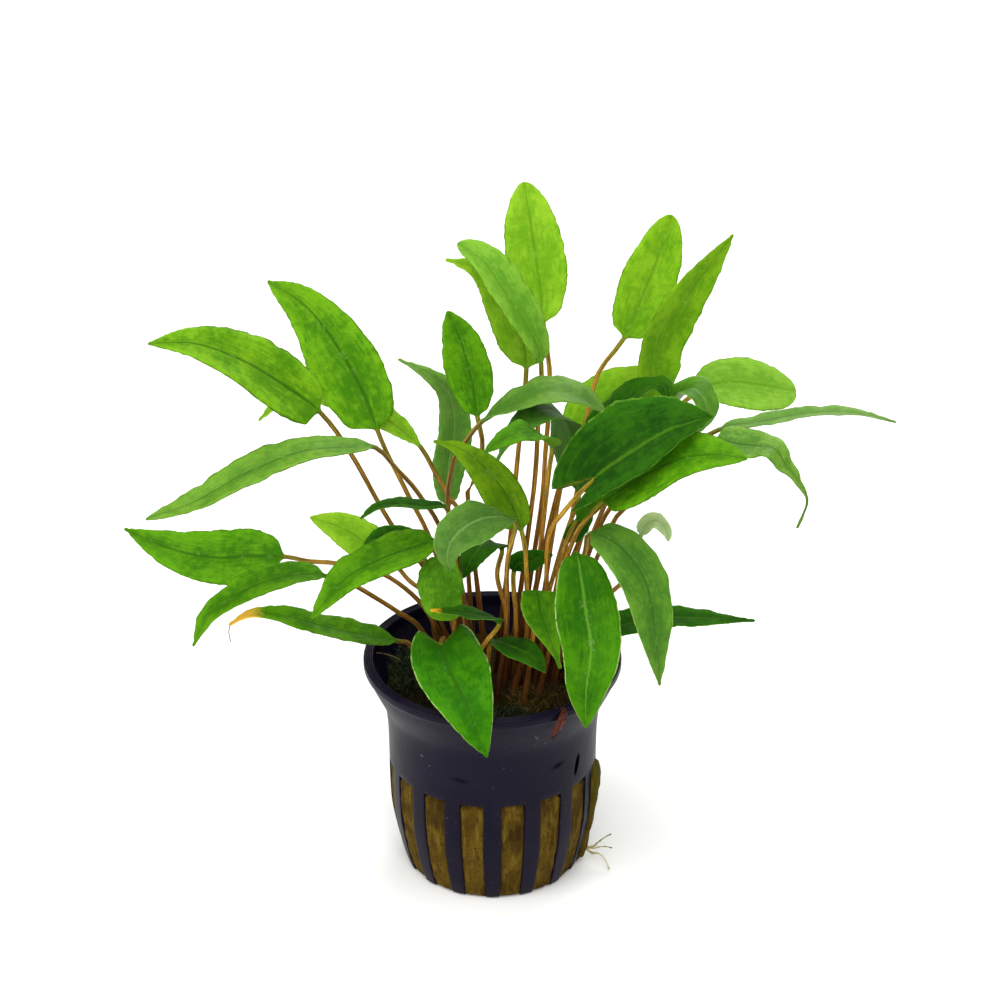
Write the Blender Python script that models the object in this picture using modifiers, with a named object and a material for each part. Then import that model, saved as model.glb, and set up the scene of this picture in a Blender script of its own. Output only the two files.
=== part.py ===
# Potted cryptocoryne: a leafy water plant rooted in mineral wool inside a slotted plastic pot.
# Lengths are in millimetres until a mesh is made, which takes them to metres.
# +Z is up, the origin is the middle of the pot's underside, the front looks along -Y and +X is to the right.
import math

import bmesh
import bpy
from mathutils import Vector

MM = 0.001
GAP = 0.3  # room left between pieces that touch

# Pot
POT_HEIGHT = 50.0
RIM_RADIUS = 27.5
LIP_WIDTH = 2.0  # flat ring on top of the rim
LIP_DEPTH = 1.7
LIP_PROUD = 0.5  # how far the lip stands out past the flared band
BAND_FOOT = 39.0  # height where the flared band starts
BAND_STEP = 0.4
WALL = 1.0
WAIST_RADIUS = 22.4
SHOULDER_RADIUS = 23.1  # wall just under the flared band
FOOT_RADIUS = 19.3
FOOT_CORNER = 1.2
FLOOR = 1.2
POT_STEPS = 48

# Slots in the wall, which run round the bottom edge into the floor
SLOT_COUNT = 16
SLOT_TOP = 25.7
SLOT_WIDTH_TOP = 5.2
SLOT_WIDTH_FOOT = 4.6
SLOT_INNER_RADIUS = 15.2
FIRST_SLOT_ANGLE = 11.25  # degrees round from the front
SLOT_PITCH = 360.0 / SLOT_COUNT

# Wool plug
WOOL_TOP = 43.0
WOOL_SHOULDER = 1.5
WOOL_STEPS = 24
BULGE_SLOT = 3  # the slot, counted from the front to the right, that the wool swells out of
BULGE_FOOT = 2.5
BULGE_TOP = 24.0
BULGE_INNER_RADIUS = 17.0
BULGE_RADIUS_FOOT = 20.9
BULGE_RADIUS_TOP = 23.9
BULGE_WIDTH_FOOT = 3.9
BULGE_WIDTH_TOP = 4.3
BULGE_ROUNDING = 0.5

# Leaves
STALK_RADIUS = 0.85
STALK_FOOT_RADIUS = 1.0
STALK_RINGS = 5
BLADE_STATIONS = (0.0, 0.07, 0.2, 0.38, 0.58, 0.78, 0.93, 1.0)  # shares of the blade's length
RIB_THICKNESS = 0.9
EDGE_THICKNESS = 0.45
TIP_HALF_WIDTH = 0.25
BASE_FULLNESS = 0.55  # powers of the outline: a smaller number makes that end rounder
TIP_FULLNESS = 0.85
LOBE_REACH = 0.3  # share of the blade over which a heart-shaped base comes back

# Each leaf: foot is where its stalk leaves the wool (x, y), stalk the points its stalk passes,
# rib the middle of its blade from base to tip, width the blade's width across the widest place.
# face is the way the upper side looks, as degrees round from the front towards the right and
# degrees up, spread evenly from base to tip; fold is how far the two halves are folded up.
# lobe is how far a heart-shaped base hangs back, full the outline's two powers, and sides how
# much of its half width each side of the blade has, left and right of the rib seen from the foot.
LEAVES = {
    "leaf_left_high": dict(
        foot=(-7, 2), stalk=[(-10, 2, 62), (-21, 2, 80), (-29, 1, 97)],
        rib=[(-35, 0, 107), (-42, -2, 114), (-50, -5, 121), (-59, -8, 126), (-68, -10, 127)],
        width=14.4, face=[(-10, 60), (-10, 60)], fold=10, full=(0.42, 0.92), sides=(1.1, 1), shade="mid"),
    "leaf_left_broad": dict(
        foot=(-5.5, 5), stalk=[(-12, 6, 71), (-18, 9, 84), (-22, 11, 92)],
        rib=[(-24, 12, 97), (-27, 15, 104.5), (-32.5, 19, 113.5), (-39, 23, 120.5), (-47, 26, 125)],
        width=15, face=[(-10, 35), (-10, 35)], fold=10, full=(0.4, 0.82), sides=(1.06, 0.9), shade="mid"),
    "leaf_left_drooping": dict(
        foot=(-3, -1), stalk=[(-9.5, -1.5, 77), (-15, -4.5, 90.5), (-19.5, -6.5, 97.5)],
        rib=[(-23.5, -8, 103), (-29.5, -10, 104), (-38.5, -13, 104.5), (-49.5, -17, 101.5),
             (-59, -20, 97), (-69, -22, 94)],
        width=10, face=[(0, 85), (-20, 80)], fold=12, full=(0.5, 0.62), sides=(1.12, 0.92), shade="mid"),
    "leaf_left_hidden": dict(
        foot=(-4, 8), stalk=[(-6, 8, 76), (-9, 10, 82), (-12, 12, 87)],
        rib=[(-15, 14, 92), (-19.5, 16, 95.5), (-27, 19, 99), (-36.5, 22, 101), (-44, 24, 99), (-50, 25, 93)],
        width=7, face=[(0, 60), (0, 60)], fold=10, full=(0.75, 1.0), shade="bright"),
    "leaf_left_back": dict(
        foot=(-9, 6), stalk=[(-14, 6, 57), (-23, 11, 63), (-33, 16, 63), (-40, 19, 62)],
        rib=[(-45, 21, 62), (-53, 24, 60.5), (-61, 27, 58.5), (-71, 30, 59), (-81.5, 33, 62.5)],
        width=13, face=[(18, 40), (18, 40)], fold=8, full=(0.52, 0.95), shade="mid"),
    "leaf_left_arched": dict(
        foot=(-9.5, -1), stalk=[(-15, -2, 57), (-20, -3, 62), (-24, -3, 65), (-30, -3, 69)],
        rib=[(-34.5, -3, 70.5), (-40, -4, 71.5), (-48, -7, 71), (-54, -10, 69), (-59, -12, 65.5),
             (-62, -14, 60)],
        width=8.5, face=[(-10, 80), (-50, 40)], fold=12, shade="mid"),
    "leaf_left_front": dict(
        foot=(-6, -4), stalk=[(-9, -6, 67), (-10, -8, 77)],
        rib=[(-11.5, -9, 82), (-16.5, -11, 81.5), (-23, -15, 81), (-29.5, -19, 79), (-33.5, -22, 75.5),
             (-36.5, -25, 73)],
        width=10, face=[(0, 65), (-35, 50)], fold=10, full=(0.45, 0.85), shade="mid"),
    "leaf_left_small": dict(
        foot=(-11, 1.5), stalk=[(-13, -1, 62)],
        rib=[(-14.5, -2, 75.5), (-19, -3.5, 79), (-23, -4.5, 80), (-27, -6, 78.5)],
        width=7, face=[(0, 60), (0, 60)], fold=10, shade="dark"),
    "leaf_left_bright": dict(
        foot=(-8, 8.5), stalk=[(-13, 10, 57), (-18, 14, 60)],
        rib=[(-21, 17, 62), (-27, 21, 65), (-33, 25, 67), (-40, 28, 68)],
        width=9, face=[(10, 45), (10, 45)], fold=8, shade="bright"),
    "leaf_left_narrow": dict(
        foot=(-4, -6.5), stalk=[(-7, -8, 77), (-8, -8.5, 85)],
        rib=[(-9.5, -9, 90), (-13.5, -10, 90.5), (-19, -12, 92), (-23, -14, 92.5), (-26.5, -16, 91)],
        width=5, face=[(0, 88), (0, 80)], fold=15, shade="dark"),
    "leaf_left_yellow_tip": dict(
        foot=(-12, -3), stalk=[(-17, -4, 54)],
        rib=[(-20, -5, 56), (-26.5, -7, 58.5), (-34, -9, 61.5), (-43, -11, 65.5), (-50, -12, 66.5),
             (-54.5, -13, 64.5)],
        width=6.8, face=[(0, 75), (0, 70)], fold=10, full=(0.5, 1.0), shade="mid"),
    "leaf_hooked": dict(
        foot=(-6.5, 11), stalk=[(-9, 14, 65)],
        rib=[(-9.5, 17, 76), (-9.5, 18, 84.5), (-8, 18, 94), (-9, 17, 103), (-13.5, 15, 108.5),
             (-19.5, 13, 113)],
        width=7.5, face=[(10, 5), (10, 10), (-20, 70)], fold=10, full=(0.5, 1.0), shade="bright"),
    "leaf_upright": dict(
        foot=(-1, 2), stalk=[(-5, 2, 85), (-4, 1, 90), (-2, 0, 99)],
        rib=[(-3, 0, 106), (-4, 2, 112), (-6, 4, 120), (-9, 6, 127)],
        width=9.5, face=[(0, 15), (0, 15)], fold=10, shade="mid"),
    "leaf_olive": dict(
        foot=(4, -8), stalk=[(7, -8, 58), (7, -10, 76)],
        rib=[(6, -10, 85), (3, -8, 92), (-2, -6, 98), (-7, -4, 101), (-12, -3, 102)],
        width=8.6, face=[(0, 45), (0, 50)], fold=8, full=(0.5, 1.15), sides=(1.15, 0.85), shade="mid"),
    "leaf_front_pale": dict(
        foot=(1, -6), stalk=[(3, -8, 61), (3, -11, 77), (4, -13, 84)],
        rib=[(4.5, -15, 90), (-1.2, -19, 92.8), (-6.3, -23, 92), (-8.7, -27, 89.8), (-8.5, -29, 86)],
        width=11.4, face=[(0, 80), (-15, 15)], fold=5, full=(0.88, 0.95), sides=(0.92, 0.84), shade="pale"),
    "leaf_front_arched": dict(
        foot=(2.5, -3), stalk=[(3, -2.5, 60), (1, -2, 70)],
        rib=[(2, -3, 77), (-1, -6, 80), (-4, -10, 79), (-6, -12, 75)],
        width=7, face=[(170, 60), (0, 75), (0, 40)], fold=10, shade="dark"),
    "leaf_front_dark": dict(
        foot=(4.6, -4.8), stalk=[(5, -4.5, 60)],
        rib=[(4.5, -4.5, 72.5), (8, -4.5, 75), (12.5, -4.5, 76.5)],
        width=5, face=[(0, 45), (0, 45)], fold=10, shade="dark"),
    "leaf_front_crumpled": dict(
        foot=(-6.5, -8), stalk=[(-8, -10.5, 66)],
        rib=[(-9.5, -12, 79), (-10.5, -14.5, 76.5), (-10, -16, 72), (-7.5, -16.5, 68)],
        width=9.5, face=[(170, 70), (-10, 60), (-10, 20)], fold=5, full=(0.4, 0.5), shade="dark"),
    "leaf_front_strip": dict(
        foot=(-3, -11), stalk=[(-3, -13, 57)],
        rib=[(1.5, -14.5, 66), (-3.5, -18.5, 70), (-8.5, -21.5, 72.5), (-12.5, -22.5, 73.5)],
        width=5, face=[(150, 60), (0, 80), (0, 80)], fold=10, shade="dark"),
    "leaf_front_heart": dict(
        foot=(-9, -6.5), stalk=[(-10, -8.5, 54), (-10, -11, 60)],
        rib=[(-10.5, -14, 60.5), (-9, -20, 58.5), (-5.5, -28, 55), (-2.5, -32, 48.5), (-1, -33, 45)],
        width=14.6, face=[(-10, 70), (-10, 25)], fold=5, lobe=6, full=(0.3, 0.92), sides=(1.12, 0.95),
        shade="mid"),
    "leaf_front_low": dict(
        foot=(-2, -8), stalk=[(-1, -8, 53)],
        rib=[(0, -10, 59), (4, -14, 60), (8, -18, 60), (11, -21, 58)],
        width=7, face=[(170, 70), (20, 60), (20, 60)], fold=8, shade="dark"),
    "leaf_front_short": dict(
        foot=(6.5, -12), stalk=[(8.5, -11, 61)],
        rib=[(9, -12.5, 72), (10, -16, 69), (12, -20, 65), (14, -23, 60)],
        width=10, face=[(170, 60), (-10, 50), (-10, 30)], fold=8, shade="mid"),
    "leaf_front_broad": dict(
        foot=(9, -11), stalk=[(13, -11, 63), (15.5, -12, 75)],
        rib=[(17, -14, 82), (18, -19, 79), (19, -23, 73), (20, -27, 67), (19, -31, 60), (19, -33, 52)],
        width=13.2, face=[(170, 75), (0, 50), (0, 15)], fold=8, sides=(1, 0.97), shade="mid"),
    "leaf_front_drooping": dict(
        foot=(12, -8.5), stalk=[(16.5, -8, 67), (19, -10, 80)],
        rib=[(20, -12, 85.5), (26, -16, 84.5), (31, -21, 79), (33, -25, 69), (34, -28, 59)],
        width=12, face=[(10, 70), (30, 20)], fold=8, full=(0.48, 0.95), sides=(0.86, 0.98), shade="mid"),
    "leaf_top": dict(
        foot=(5, 5), stalk=[(10, 5, 81), (11, 9, 92), (12, 14, 108)],
        rib=[(10.5, 18, 118.5), (10, 21, 125), (8.5, 25, 134.5), (6.5, 30, 145.5)],
        width=12.2, face=[(0, 20), (0, 20)], fold=6, full=(0.5, 0.68), shade="bright"),
    "leaf_top_folded": dict(
        foot=(3.5, 1.5), stalk=[(8, 3, 82), (9, 4, 92), (9.5, 4, 104)],
        rib=[(10, 4, 116), (7.5, 4, 123.5), (2.5, 5, 131.5), (-2, 7, 137.5), (-7, 9, 140.5)],
        width=10, face=[(45, 30), (45, 30)], fold=22, full=(0.55, 0.55), shade="bright"),
    "leaf_top_whip": dict(
        foot=(1, 4), stalk=[(4, 3.5, 79), (5, 5, 91), (6, 6.5, 102)],
        rib=[(7, 8, 113), (6, 9, 120), (2.5, 11, 128), (-2.5, 12, 133.5), (-9.5, 12.5, 135.5)],
        width=11, face=[(-10, 30), (-10, 30)], fold=8, full=(0.55, 1.2), shade="bright"),
    "leaf_arching": dict(
        foot=(-3, 4), stalk=[(-9, 3, 81), (-8, 1, 95), (-6, -1, 100)],
        rib=[(-2, -3, 106.5), (3.5, -5, 111), (10.5, -6, 114.5), (17.5, -6, 113.5), (23, -6, 110)],
        width=10.4, face=[(0, 80), (0, 85)], fold=10, full=(0.8, 0.7), shade="dark"),
    "leaf_turned_over": dict(
        foot=(7, 1.5), stalk=[(14.5, 3, 74)],
        rib=[(18, 1.5, 87.5), (17, 0, 98), (15, -2, 106.5), (10, -5.5, 110), (4.5, -8.5, 107),
             (1, -11, 101.5)],
        width=13, face=[(150, 20), (0, 85), (-40, 20)], fold=8, full=(0.45, 1.1), shade="dark"),
    "leaf_curly": dict(
        foot=(7, -3), stalk=[(10, -1.5, 76), (11.5, -6, 96)],
        rib=[(12, -11.5, 105), (10, -15.5, 109.5), (5.5, -18.5, 111.5), (1.5, -20.5, 110.5),
             (-1.5, -21.5, 108.5)],
        width=7, face=[(150, 45), (0, 75), (0, 70)], fold=10, shade="mid"),
    "leaf_right_dark": dict(
        foot=(9, -6), stalk=[(11, -8, 65), (11.5, -11, 83.5), (14, -12.5, 90)],
        rib=[(20.5, -14, 99), (26.5, -14, 104), (34.5, -13, 109), (39.5, -13, 111), (44, -12, 112)],
        width=20.6, face=[(-10, 28), (-10, 45)], fold=12, lobe=10, full=(0.43, 0.85), sides=(1, 0.5),
        shade="dark"),
    "leaf_right_low": dict(
        foot=(10.5, -4), stalk=[(14, -6, 70), (17, -8.5, 83), (20, -9, 88)],
        rib=[(22.5, -10, 91.5), (29, -12, 97.5), (36.5, -15, 103.5), (43.5, -18, 106.5), (50.5, -20, 106.5)],
        width=13.4, face=[(0, 60), (0, 60)], fold=10, full=(0.52, 0.78), shade="mid"),
    "leaf_right_sliver": dict(
        foot=(9.7, -1.2), stalk=[(14.5, -4, 75)],
        rib=[(17.5, -4.5, 84.5), (21.5, -5.5, 90), (26.5, -6.5, 97)],
        width=5, face=[(-40, 35), (-40, 35)], fold=10, shade="mid"),
    "leaf_right_young": dict(
        foot=(6, -0.7), stalk=[(12.5, -0.5, 68)],
        rib=[(15.5, -1, 77.5), (18, -0.5, 80.5), (21, 0, 84)],
        width=4, face=[(0, 30), (0, 30)], fold=10, shade="dark"),
    "leaf_right_behind": dict(
        foot=(9, 8.5), stalk=[(14, 12, 81)],
        rib=[(17, 18, 90.5), (23, 22, 98.5), (30.5, 25, 102), (36.5, 27, 103)],
        width=12, face=[(10, 40), (10, 40)], fold=8, shade="bright"),
    "leaf_right_domed": dict(
        foot=(10, 2), stalk=[(17.5, 7, 84)],
        rib=[(20, 7, 97.5), (25, 4.5, 105), (31, 1, 111.5), (34.5, -2, 114), (35.5, -4, 111.5)],
        width=11, face=[(-10, 60), (0, 80)], fold=8, shade="dark"),
    "leaf_right_curled": dict(
        foot=(11.5, 5.5), stalk=[(24, 5.5, 84)],
        rib=[(35, 8, 99), (38, 6, 107), (41, 3, 111), (43.5, 0, 109), (43, -2, 106), (40.5, -3, 103)],
        width=9, face=[(-60, 30), (0, 80), (80, 20)], fold=8, shade="pale"),
    "leaf_right_tall": dict(
        foot=(8.5, 4.5), stalk=[(17, 8, 69), (25, 11, 87)],
        rib=[(32.5, 12.5, 102), (35, 16, 115), (40, 18, 124.5), (45.5, 20, 132), (49.5, 21, 137.5)],
        width=11, face=[(35, 20), (35, 20)], fold=10, full=(0.4, 0.85), shade="bright"),
    "leaf_right_broad": dict(
        foot=(6, 8), stalk=[(13.5, 9, 83), (19, 14, 96), (22, 18, 107)],
        rib=[(27.5, 21, 114), (31, 25, 121), (34.5, 29, 128.5), (37.5, 33, 137)],
        width=11.5, face=[(0, 30), (0, 30)], fold=6, full=(0.42, 0.65), shade="bright"),
    "leaf_right_oval": dict(
        foot=(12, 8), stalk=[(22, 14, 80), (35, 18, 95)],
        rib=[(43, 20, 102), (49, 23, 103), (57, 26, 101), (65, 29, 98)],
        width=11.6, face=[(20, 50), (20, 50)], fold=5, full=(0.5, 0.5), sides=(1, 1.15), shade="bright"),
    "leaf_right_thin": dict(
        foot=(12.5, 2), stalk=[(23, 2, 81), (35, 3.5, 93)],
        rib=[(46.5, 5, 100.5), (55.5, 7, 101.5), (66, 9, 102.5), (75.5, 11, 101.5), (84.5, 13, 98.5)],
        width=5, face=[(0, 85), (0, 85)], fold=10, shade="mid"),
    "leaf_right_bent": dict(
        foot=(12, -2), stalk=[(24, -3, 81), (30, -4, 89), (38, -5, 98)],
        rib=[(45, -6, 103.5), (50, -7, 103.3), (54.2, -9, 103.8), (57, -11, 104), (59, -12, 101.2),
             (61.2, -13, 98.5), (63.6, -14, 94), (61.8, -14, 87.8)],
        width=9.5, face=[(0, 75), (30, 60), (95, 5)], fold=10, full=(0.45, 2.2), sides=(0.9, 1.15),
        shade="mid"),
    "leaf_right_level": dict(
        foot=(14.5, 0), stalk=[(19, 0, 51)],
        rib=[(23, 2, 54), (34, 6, 55), (45, 10, 53), (57, 14, 50)],
        width=7.8, face=[(0, 75), (0, 75)], fold=8, full=(0.38, 1.0), shade="dark"),
    "leaf_right_torn": dict(
        foot=(14.5, 4), stalk=[(22, 4, 59), (28, 4, 66)],
        rib=[(31.2, 4, 76.5), (32.2, 4, 79), (34, 4, 80), (35.6, 4, 79), (36.6, 3.5, 77.5), (37, 3, 75.5)],
        width=3.6, face=[(0, 45), (0, 50), (30, 40)], fold=5, full=(0.4, 0.6), shade="pale"),
}

# Roots that have grown out of the low end of a slot at the right; each runs from its wool end outwards
ROOT_RADIUS = 0.3
ROOTS = {
    "root_upper": [(22.2, -4.4, 3.7), (22.8, -4.4, 4.4), (23.7, -4.2, 5.1), (24.8, -4.0, 5.9), (25.9, -3.8, 6.4)],
    "root_middle": [(22.4, -5.5, 3.9), (23.3, -5.8, 4.4), (24.7, -5.8, 4.5), (26.1, -5.6, 4.0)],
    "root_lower": [(21.8, -5.6, 2.7), (22.7, -6.1, 3.0), (23.7, -6.7, 2.9), (24.7, -7.6, 2.0), (25.4, -8.7, 0.5)],
}

# Scrap of dead leaf that hangs over the rim; its path is in degrees round from the front, radius and height
SCRAP_PATH = [
    (32, 27.0, 50.5), (32, 27.6, 50.5), (31.5, 28.05, 49.9), (30, 28.2, 48.2), (28.5, 27.9, 46.0),
    (27, 27.6, 43.9),
]
SCRAP_WIDTHS = [0.8, 1.0, 1.8, 2.4, 2.0, 0.8]
SCRAP_THICKNESS = 0.4

# Colour (linear red, green, blue), roughness
FINISHES = {
    "pot": ((0.012, 0.010, 0.022), 0.22),
    "wool": ((0.16, 0.11, 0.035), 0.95),
    "leaf_bright": ((0.16, 0.42, 0.015), 0.4),
    "leaf_mid": ((0.06, 0.26, 0.012), 0.35),
    "leaf_dark": ((0.018, 0.12, 0.01), 0.3),
    "leaf_pale": ((0.09, 0.26, 0.06), 0.3),
    "root": ((0.62, 0.55, 0.38), 0.7),
    "scrap": ((0.12, 0.02, 0.008), 0.5),
}


def clear_scene():
    for thing in list(bpy.data.objects):
        bpy.data.objects.remove(thing, do_unlink=True)


def new_collection(name):
    group = bpy.data.collections.new(name)
    bpy.context.scene.collection.children.link(group)
    return group


def new_material(name):
    colour, roughness = FINISHES[name]
    material = bpy.data.materials.new(name)
    material.use_nodes = True
    shader = material.node_tree.nodes["Principled BSDF"]
    shader.inputs["Base Color"].default_value = (*colour, 1.0)
    shader.inputs["Roughness"].default_value = roughness
    return material


def new_object(name, mesh, group, material=None):
    thing = bpy.data.objects.new(name, mesh)
    group.objects.link(thing)
    if material:
        mesh.materials.append(material)
    return thing


def turned_object(name, profile, steps, group, material):
    """A closed solid turned about Z from (radius, height) points that run down its outer side."""
    mesh = bpy.data.meshes.new(name)
    points = [(radius * MM, 0.0, height * MM) for radius, height in profile]
    mesh.from_pydata(points, [(i, i + 1) for i in range(len(points) - 1)], [])
    thing = new_object(name, mesh, group, material)
    screw = thing.modifiers.new("Turn", "SCREW")
    screw.axis = "Z"
    screw.steps = steps
    screw.render_steps = steps
    screw.use_merge_vertices = True
    screw.merge_threshold = 0.0001
    screw.use_smooth_shade = True
    return thing


def join_or_cut(thing, other, operation):
    boolean = thing.modifiers.new(operation.title(), "BOOLEAN")
    boolean.object = other
    boolean.operation = operation
    boolean.solver = "EXACT"
    other.hide_render = True
    other.display_type = "WIRE"


def around(angle, radius, lateral=0.0):
    """The (x, y) at that many degrees round from the front, moved sideways by lateral."""
    turn = math.radians(angle)
    outward = Vector((math.sin(turn), -math.cos(turn)))
    sideways = Vector((math.cos(turn), math.sin(turn)))
    return outward * radius + sideways * lateral


def wedge(bm, angle, radii, heights, widths, tops=None):
    """A block that stands across the wall: radii from inner to outer, widths at foot and top."""
    tops = tops or radii
    made = bmesh.ops.create_cube(bm, size=1.0)
    for vert in made["verts"]:
        upper = vert.co.z > 0
        outer = vert.co.x > 0
        radius = (tops if upper else radii)[1 if outer else 0]
        lateral = widths[1 if upper else 0] * (0.5 if vert.co.y > 0 else -0.5)
        x, y = around(angle, radius, lateral)
        vert.co = Vector((x, y, heights[1 if upper else 0])) * MM
    return made


def pot_profile():
    """The inner side from the floor's middle up, the lip, and the outer side down to the underside."""
    inner = RIM_RADIUS - LIP_WIDTH
    band_top = RIM_RADIUS - LIP_PROUD
    outer_side = [
        (RIM_RADIUS, POT_HEIGHT - 0.3),
        (RIM_RADIUS, POT_HEIGHT - LIP_DEPTH),
        (band_top, POT_HEIGHT - LIP_DEPTH - 0.3),
        (26.0, 45.0),
        (24.7, 42.0),
        (SHOULDER_RADIUS + BAND_STEP, BAND_FOOT),
        (SHOULDER_RADIUS, BAND_FOOT - 0.4),
        (WAIST_RADIUS, 30.0),
        (WAIST_RADIUS - 0.2, 16.0),
        (21.0, 8.0),
        (FOOT_RADIUS + 0.5, 3.5),
        (FOOT_RADIUS, FOOT_CORNER),
        (FOOT_RADIUS - FOOT_CORNER, 0.0),
        (0.0, 0.0),
    ]
    inner_side = [
        (0.0, FLOOR),
        (FOOT_RADIUS - WALL, FLOOR),
        (21.0 - WALL, 8.0),
        (WAIST_RADIUS - 0.2 - WALL, 16.0),
        (WAIST_RADIUS - WALL, 30.0),
        (SHOULDER_RADIUS - WALL, BAND_FOOT),
        (24.7 - WALL, 42.4),
        (inner, 47.5),
        (inner, POT_HEIGHT),
        (RIM_RADIUS - 0.3, POT_HEIGHT),
    ]
    return inner_side + outer_side


def make_pot(parts, tools):
    pot = turned_object("pot", pot_profile(), POT_STEPS, parts, new_material("pot"))
    bm = bmesh.new()
    for k in range(SLOT_COUNT):
        wedge(
            bm, FIRST_SLOT_ANGLE + k * SLOT_PITCH, (SLOT_INNER_RADIUS, RIM_RADIUS + 3),
            (-2.0, SLOT_TOP), (SLOT_WIDTH_FOOT, SLOT_WIDTH_TOP),
        )
    mesh = bpy.data.meshes.new("slot_cutters")
    bm.to_mesh(mesh)
    bm.free()
    join_or_cut(pot, new_object("slot_cutters", mesh, tools), "DIFFERENCE")
    return pot


def make_wool(parts, tools):
    """The plug that fills the pot below the rim, swollen out of one slot."""
    side = WAIST_RADIUS - WALL - GAP
    profile = [
        (0.0, WOOL_TOP),
        (side - WOOL_SHOULDER, WOOL_TOP),
        (side, WOOL_TOP - WOOL_SHOULDER),
        (side, 30.0),
        (side - 0.3, 15.5),
        (21.0 - WALL - 2 * GAP, 8.0),
        (FOOT_RADIUS - WALL - 2 * GAP, 3.2),
        (FOOT_RADIUS - FOOT_CORNER - 1.6, FLOOR + GAP),
        (0.0, FLOOR + GAP),
    ]
    wool = turned_object("mineral_wool", profile, WOOL_STEPS, parts, new_material("wool"))
    bm = bmesh.new()
    angle = FIRST_SLOT_ANGLE + BULGE_SLOT * SLOT_PITCH
    wedge(
        bm, angle, (BULGE_INNER_RADIUS, BULGE_RADIUS_FOOT), (BULGE_FOOT, BULGE_TOP),
        (BULGE_WIDTH_FOOT, BULGE_WIDTH_TOP), (BULGE_INNER_RADIUS, BULGE_RADIUS_TOP),
    )
    mesh = bpy.data.meshes.new("wool_bulge")
    bm.to_mesh(mesh)
    bm.free()
    bulge = new_object("wool_bulge", mesh, tools)
    rounding = bulge.modifiers.new("Rounding", "BEVEL")
    rounding.width = BULGE_ROUNDING * MM
    rounding.segments = 1
    join_or_cut(wool, bulge, "UNION")
    return wool


def loft(name, rings, group, material):
    """A closed solid through rings that all have the same number of points."""
    bm = bmesh.new()
    rows = [[bm.verts.new(point * MM) for point in ring] for ring in rings]
    count = len(rows[0])
    for here, there in zip(rows, rows[1:]):
        for k in range(count):
            after = (k + 1) % count
            bm.faces.new((here[k], here[after], there[after], there[k]))
    bm.faces.new(rows[0])
    bm.faces.new(rows[-1])
    bmesh.ops.recalc_face_normals(bm, faces=bm.faces)
    mesh = bpy.data.meshes.new(name)
    bm.to_mesh(mesh)
    bm.free()
    mesh.shade_smooth()
    mesh.set_sharp_from_angle(angle=math.radians(50))
    return new_object(name, mesh, group, material)


def along(points, place):
    """A smooth curve through the points, read at a place counted in points (0 is the first)."""
    last = len(points) - 1
    k = min(int(place), last - 1)
    u = place - k
    a, b, c, d = (points[min(max(k + step, 0), last)] for step in (-1, 0, 1, 2))
    if k == 0:
        a = b * 2 - c
    if k == last - 1:
        d = c * 2 - b
    return (b * 2 + (c - a) * u + (a * 2 - b * 5 + c * 4 - d) * u**2 + (b * 3 - a - c * 3 + d) * u**3) * 0.5


def heading_at(points, place):
    """The way the curve runs at a place, measured over a twentieth of a step to each side."""
    step = 0.05
    ahead = along(points, min(place + step, len(points) - 1))
    return (ahead - along(points, max(place - step, 0))).normalized()


def even_places(points, first, last, shares):
    """The places on the curve at those shares of its length from the first to the last place."""
    fine = [first + (last - first) * i / 60 for i in range(61)]
    spots = [along(points, place) for place in fine]
    run = [0.0]
    for here, there in zip(spots, spots[1:]):
        run.append(run[-1] + (there - here).length)
    places = []
    for share in shares:
        goal = share * run[-1]
        k = next((i for i in range(60) if run[i + 1] >= goal), 59)
        places.append(fine[k] + (fine[k + 1] - fine[k]) * (goal - run[k]) / (run[k + 1] - run[k]))
    return places


def looking(face):
    """The direction that lies those degrees round from the front and those degrees up."""
    turn, rise = (math.radians(value) for value in face)
    return Vector((math.sin(turn) * math.cos(rise), -math.cos(turn) * math.cos(rise), math.sin(rise)))


def face_at(faces, share):
    spot = share * (len(faces) - 1)
    k = min(int(spot), len(faces) - 2)
    return looking(faces[k]).slerp(looking(faces[k + 1]), spot - k)


def outline(share, full):
    """The blade's half width at a share of its length, as a part of its greatest."""
    base, tip = full
    widest = base / (base + tip)
    return (share**base * (1 - share) ** tip) / (widest**base * (1 - widest) ** tip)


def leaf_rings(leaf):
    """Rings from the stalk's foot to the blade's tip: six points round the stalk, then a folded blade."""
    points = [Vector((*leaf["foot"], WOOL_TOP + GAP))] + [Vector(p) for p in leaf["stalk"] + leaf["rib"]]
    base, last = len(leaf["stalk"]) + 1, len(points) - 1
    places = even_places(points, 0, base, [i / STALK_RINGS for i in range(STALK_RINGS)])
    places += even_places(points, base, last, BLADE_STATIONS)
    headings = [heading_at(points, place) for place in places]
    headings[0] = Vector((0, 0, 1))
    blade_headings = headings[STALK_RINGS:]
    sides = [h.cross(face_at(leaf["face"], s)).normalized() for h, s in zip(blade_headings, BLADE_STATIONS)]
    for heading in reversed(headings[:STALK_RINGS]):
        sides.insert(0, (sides[0] - heading * sides[0].dot(heading)).normalized())
    rings = []
    shares = [0.0] * STALK_RINGS + list(BLADE_STATIONS)
    for place, heading, side, share in zip(places, headings, sides, shares):
        centre, upper = along(points, place), side.cross(heading)
        if share > 0:
            rings.append(blade_ring(leaf, centre, heading, side, upper, share))
            continue
        thick = STALK_FOOT_RADIUS if place == 0 else STALK_RADIUS
        turns = (math.radians(a) for a in (150, 90, 30, -30, -90, -150))
        rings.append([centre + (side * math.cos(a) + upper * math.sin(a)) * thick for a in turns])
    return rings


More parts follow.
